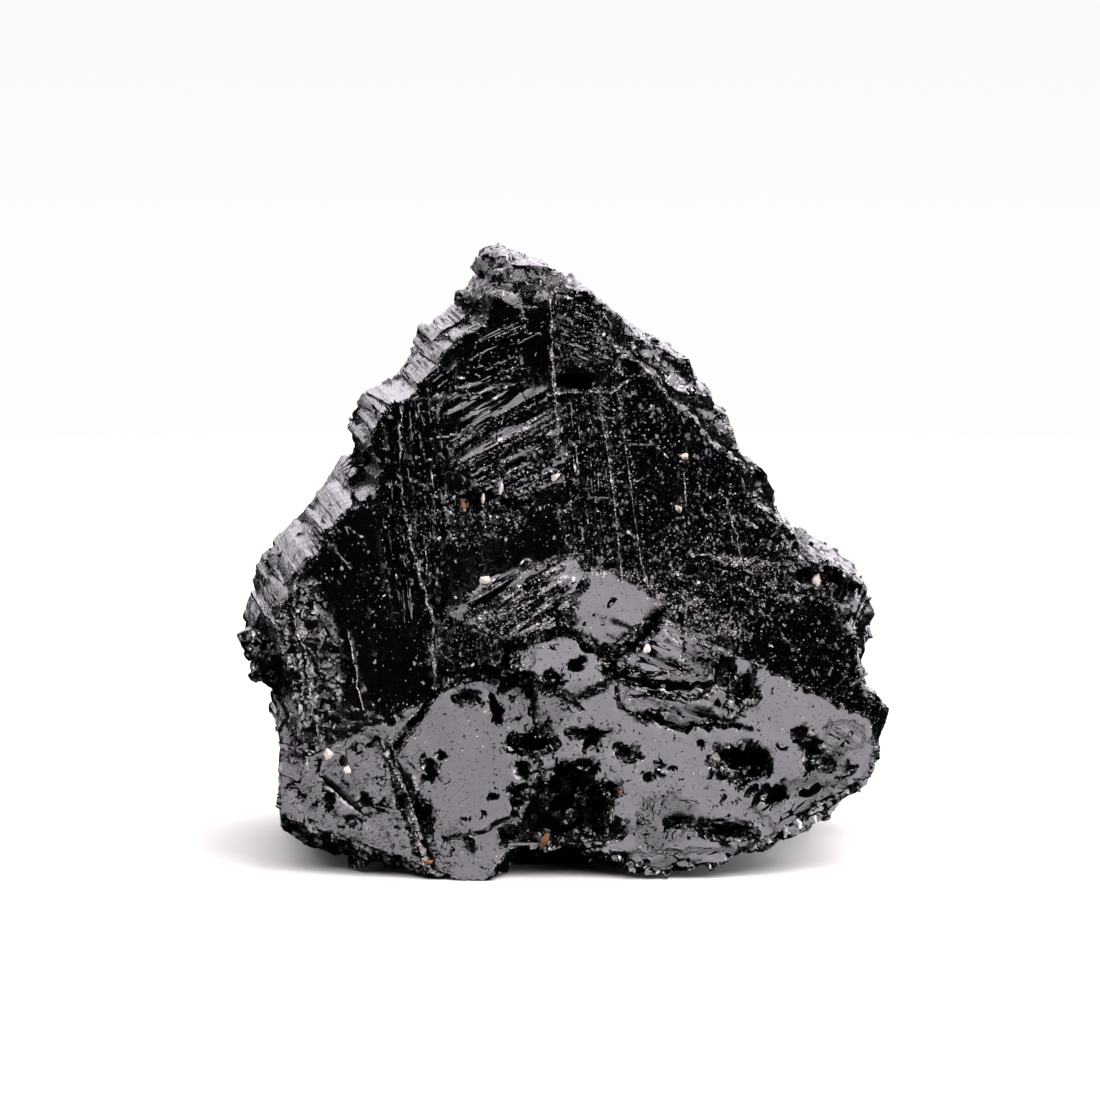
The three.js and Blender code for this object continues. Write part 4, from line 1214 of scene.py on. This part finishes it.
# The ceiling reaches low behind the stone and stays high in front of it; a bright wall stands at each side.
FADES = {
    "ceiling_edge": Fade(Axis.AHEAD, -0.2, 0.75, 0.6, 0.0),
    "height": Fade(Axis.UP, 0.2, 0.6, 2.2, 4.55),
    "across": Fade(Axis.ACROSS, -0.35, 0.35, 0.66, 1.36),
    "far_left": Fade(Axis.ACROSS, -0.8, -0.4, 0.75, 1.0),
    "right": Fade(Axis.ACROSS, 0.58, 0.72, 0.0, 4.6),
    "left": Fade(Axis.ACROSS, -0.7, -0.85, 0.0, 1.2),
    "wing_foot": Fade(Axis.UP, -0.1, 0.05, 0.0, 1.0),
    "backdrop": Fade(Axis.UP, -0.12, -0.066, 0.99, 0.955),
}


@dataclass(frozen=True)
class Stage:
    """A pale floor in soft studio light, and a camera a little above the stone."""

    target: Point = (-1.2, 0.0, 24.6)
    distance: float = 480.0
    elevation: float = 9.0
    frame_width: float = 89.2
    sensor: float = 36.0
    floor_radius: float = 250.0
    lamps: tuple[Point, ...] = ((-0.75, -0.45, 0.9), (0.8, -0.5, 0.8), (0.35, -0.2, 1.0), (0.7, 0.4, 0.8))
    lamp_power: float = 14.0
    tint: Point = (1.0, 0.935, 1.02)

    def build(self) -> None:
        """Builds the floor, the light and the camera."""
        self.floor()
        self.light()
        self.camera()

    def floor(self) -> None:
        """A round sheet of pale matt paper under the stone."""
        sheet = bmesh.new()
        bmesh.ops.create_circle(sheet, cap_ends=True, segments=96, radius=self.floor_radius * MM)
        mesh = bpy.data.meshes.new("floor")
        sheet.to_mesh(mesh)
        sheet.free()
        mesh.materials.append(PaperFinish().build())
        floor = bpy.data.objects.new("floor", mesh)
        floor.visible_glossy = False
        bpy.context.scene.collection.objects.link(floor)

    def light(self) -> None:
        """Soft light from overhead, behind and both sides, with nothing bright low in front."""
        world = bpy.data.worlds.new("studio")
        bpy.context.scene.world = world
        world.use_nodes = True
        tree = world.node_tree
        tree.nodes.clear()
        way = node(tree, "TexCoord").outputs["Generated"]
        axes = node(tree, "SeparateXYZ", {0: way}).outputs
        fades = {name: node(tree, "MapRange", {
            "Value": axes[fade.axis.value], "From Min": fade.start, "From Max": fade.end,
            "To Min": fade.low, "To Max": fade.high,
        }, interpolation_type="SMOOTHSTEP") for name, fade in FADES.items()}
        above = node(tree, "Math", {0: axes["Z"], 1: fades["ceiling_edge"]}, operation="SUBTRACT")
        power = node(tree, "MapRange", {
            "Value": above, "From Min": -0.05, "From Max": 0.06, "To Min": 0.003, "To Max": 1.0,
        }, interpolation_type="SMOOTHSTEP")
        for name in ("height", "across", "far_left"):
            power = node(tree, "Math", {0: power, 1: fades[name]}, operation="MULTIPLY")
        wings = node(tree, "Math", {0: fades["right"], 1: fades["left"]}, operation="ADD")
        wings = node(tree, "Math", {0: wings, 1: fades["wing_foot"]}, operation="MULTIPLY")
        power = node(tree, "Math", {0: power, 1: wings}, operation="MAXIMUM")
        for lamp in self.lamps:
            near = node(tree, "VectorMath", {0: way, 1: Vector(lamp).normalized()},
                        operation="DOT_PRODUCT").outputs["Value"]
            glow = node(tree, "MapRange", {
                "Value": near, "From Min": 0.988, "From Max": 0.994, "To Min": 0.0,
                "To Max": self.lamp_power,
            }, interpolation_type="SMOOTHSTEP")
            power = node(tree, "Math", {0: power, 1: glow}, operation="ADD")
        soft = node(tree, "Background", {"Color": (*self.tint, 1.0), "Strength": power})
        seen = node(tree, "Background", {"Color": (1.0, 1.0, 1.0, 1.0), "Strength": fades["backdrop"]})
        ray = node(tree, "LightPath")
        mixed = node(tree, "MixShader", {0: ray.outputs["Is Camera Ray"], 1: soft, 2: seen})
        node(tree, "OutputWorld", {"Surface": mixed})
        bpy.context.scene.view_settings.view_transform = "Standard"

    def camera(self) -> None:
        """The camera, level with the stone's middle and looking slightly down."""
        tilt = math.radians(self.elevation)
        ahead = Vector((0, math.cos(tilt), -math.sin(tilt)))
        data = bpy.data.cameras.new("camera")
        data.sensor_width = self.sensor
        data.lens = self.sensor * self.distance / self.frame_width
        data.clip_start = 0.01
        camera = bpy.data.objects.new("camera", data)
        camera.location = (Vector(self.target) - ahead * self.distance) * MM
        camera.rotation_euler = ahead.to_track_quat("-Z", "Y").to_euler()
        bpy.context.scene.collection.objects.link(camera)
        bpy.context.scene.camera = camera


PALE_GRAINS = GrainSet("pale_grains", (
    Grain(-19.0, 9.1, (0.62, 0.4, 0.5), 20, 1),
    Grain(-17.5, 7.9, (0.34, 0.4, 0.56), 15, 2),
    Grain(12.0, 8.9, (0.62, 0.5, 0.62), -30, 3),
    Grain(20.2, 22.5, (0.38, 0.4, 0.95), 5, 4),
    Grain(-6.6, 22.6, (0.55, 0.5, 0.5), 40, 5),
    Grain(-0.8, 30.7, (0.42, 0.2, 0.26), -30, 6),
    Grain(-5.2, 29.8, (0.18, 0.3, 0.5), 10, 7),
    Grain(-6.6, 29.3, (0.14, 0.2, 0.45), 4, 8),
    Grain(6.6, 17.2, (0.24, 0.3, 0.5), 20, 9),
    Grain(9.7, 32.5, (0.52, 0.2, 0.46), 25, 10),
    Grain(9.2, 28.3, (0.36, 0.2, 0.4), -20, 11),
))
RUSTY_GRAINS = GrainSet("rusty_grains", (
    Grain(-8.1, 28.6, (0.34, 0.4, 0.74), -15, 21),
    Grain(9.7, 32.4, (0.26, 0.36, 0.22), 0, 22),
    Grain(9.2, 28.2, (0.18, 0.34, 0.24), 0, 26),
    Grain(-1.7, 3.0, (0.28, 0.4, 0.8), 25, 23),
    Grain(4.4, 6.6, (0.26, 0.3, 0.34), 0, 24),
    Grain(-11.0, 1.4, (0.7, 0.4, 0.22), 0, 25),
))


def main() -> None:
    """Builds the stone, its grains, the stage and the camera, in that order."""
    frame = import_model()
    stone = Tourmaline().build(frame["nodes"]["tourmaline_mass"])
    stone.data.materials.append(Schorl().build())
    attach(stone, "root")
    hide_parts("tourmaline_mass")
    LOG.info("stone: %d faces", len(stone.data.polygons))
    finishes = (
        (PALE_GRAINS, GrainFinish("feldspar_broken_grain", "#ddd5c9", "#85796c"), "pale_grain"),
        (RUSTY_GRAINS, GrainFinish("limonite_earthy_crust", "#7d4f27", "#2c190c", 0.8), "iron_stain"),
    )
    for grains, finish, slot in finishes:
        piece = grains.build(stone)
        piece.data.materials.append(finish.build())
        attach(piece, "root")
        LOG.info("%s: %d faces", piece.name, len(piece.data.polygons))
    Stage().build()


if __name__ == "__main__":
    logging.basicConfig(level=logging.INFO)
    main()
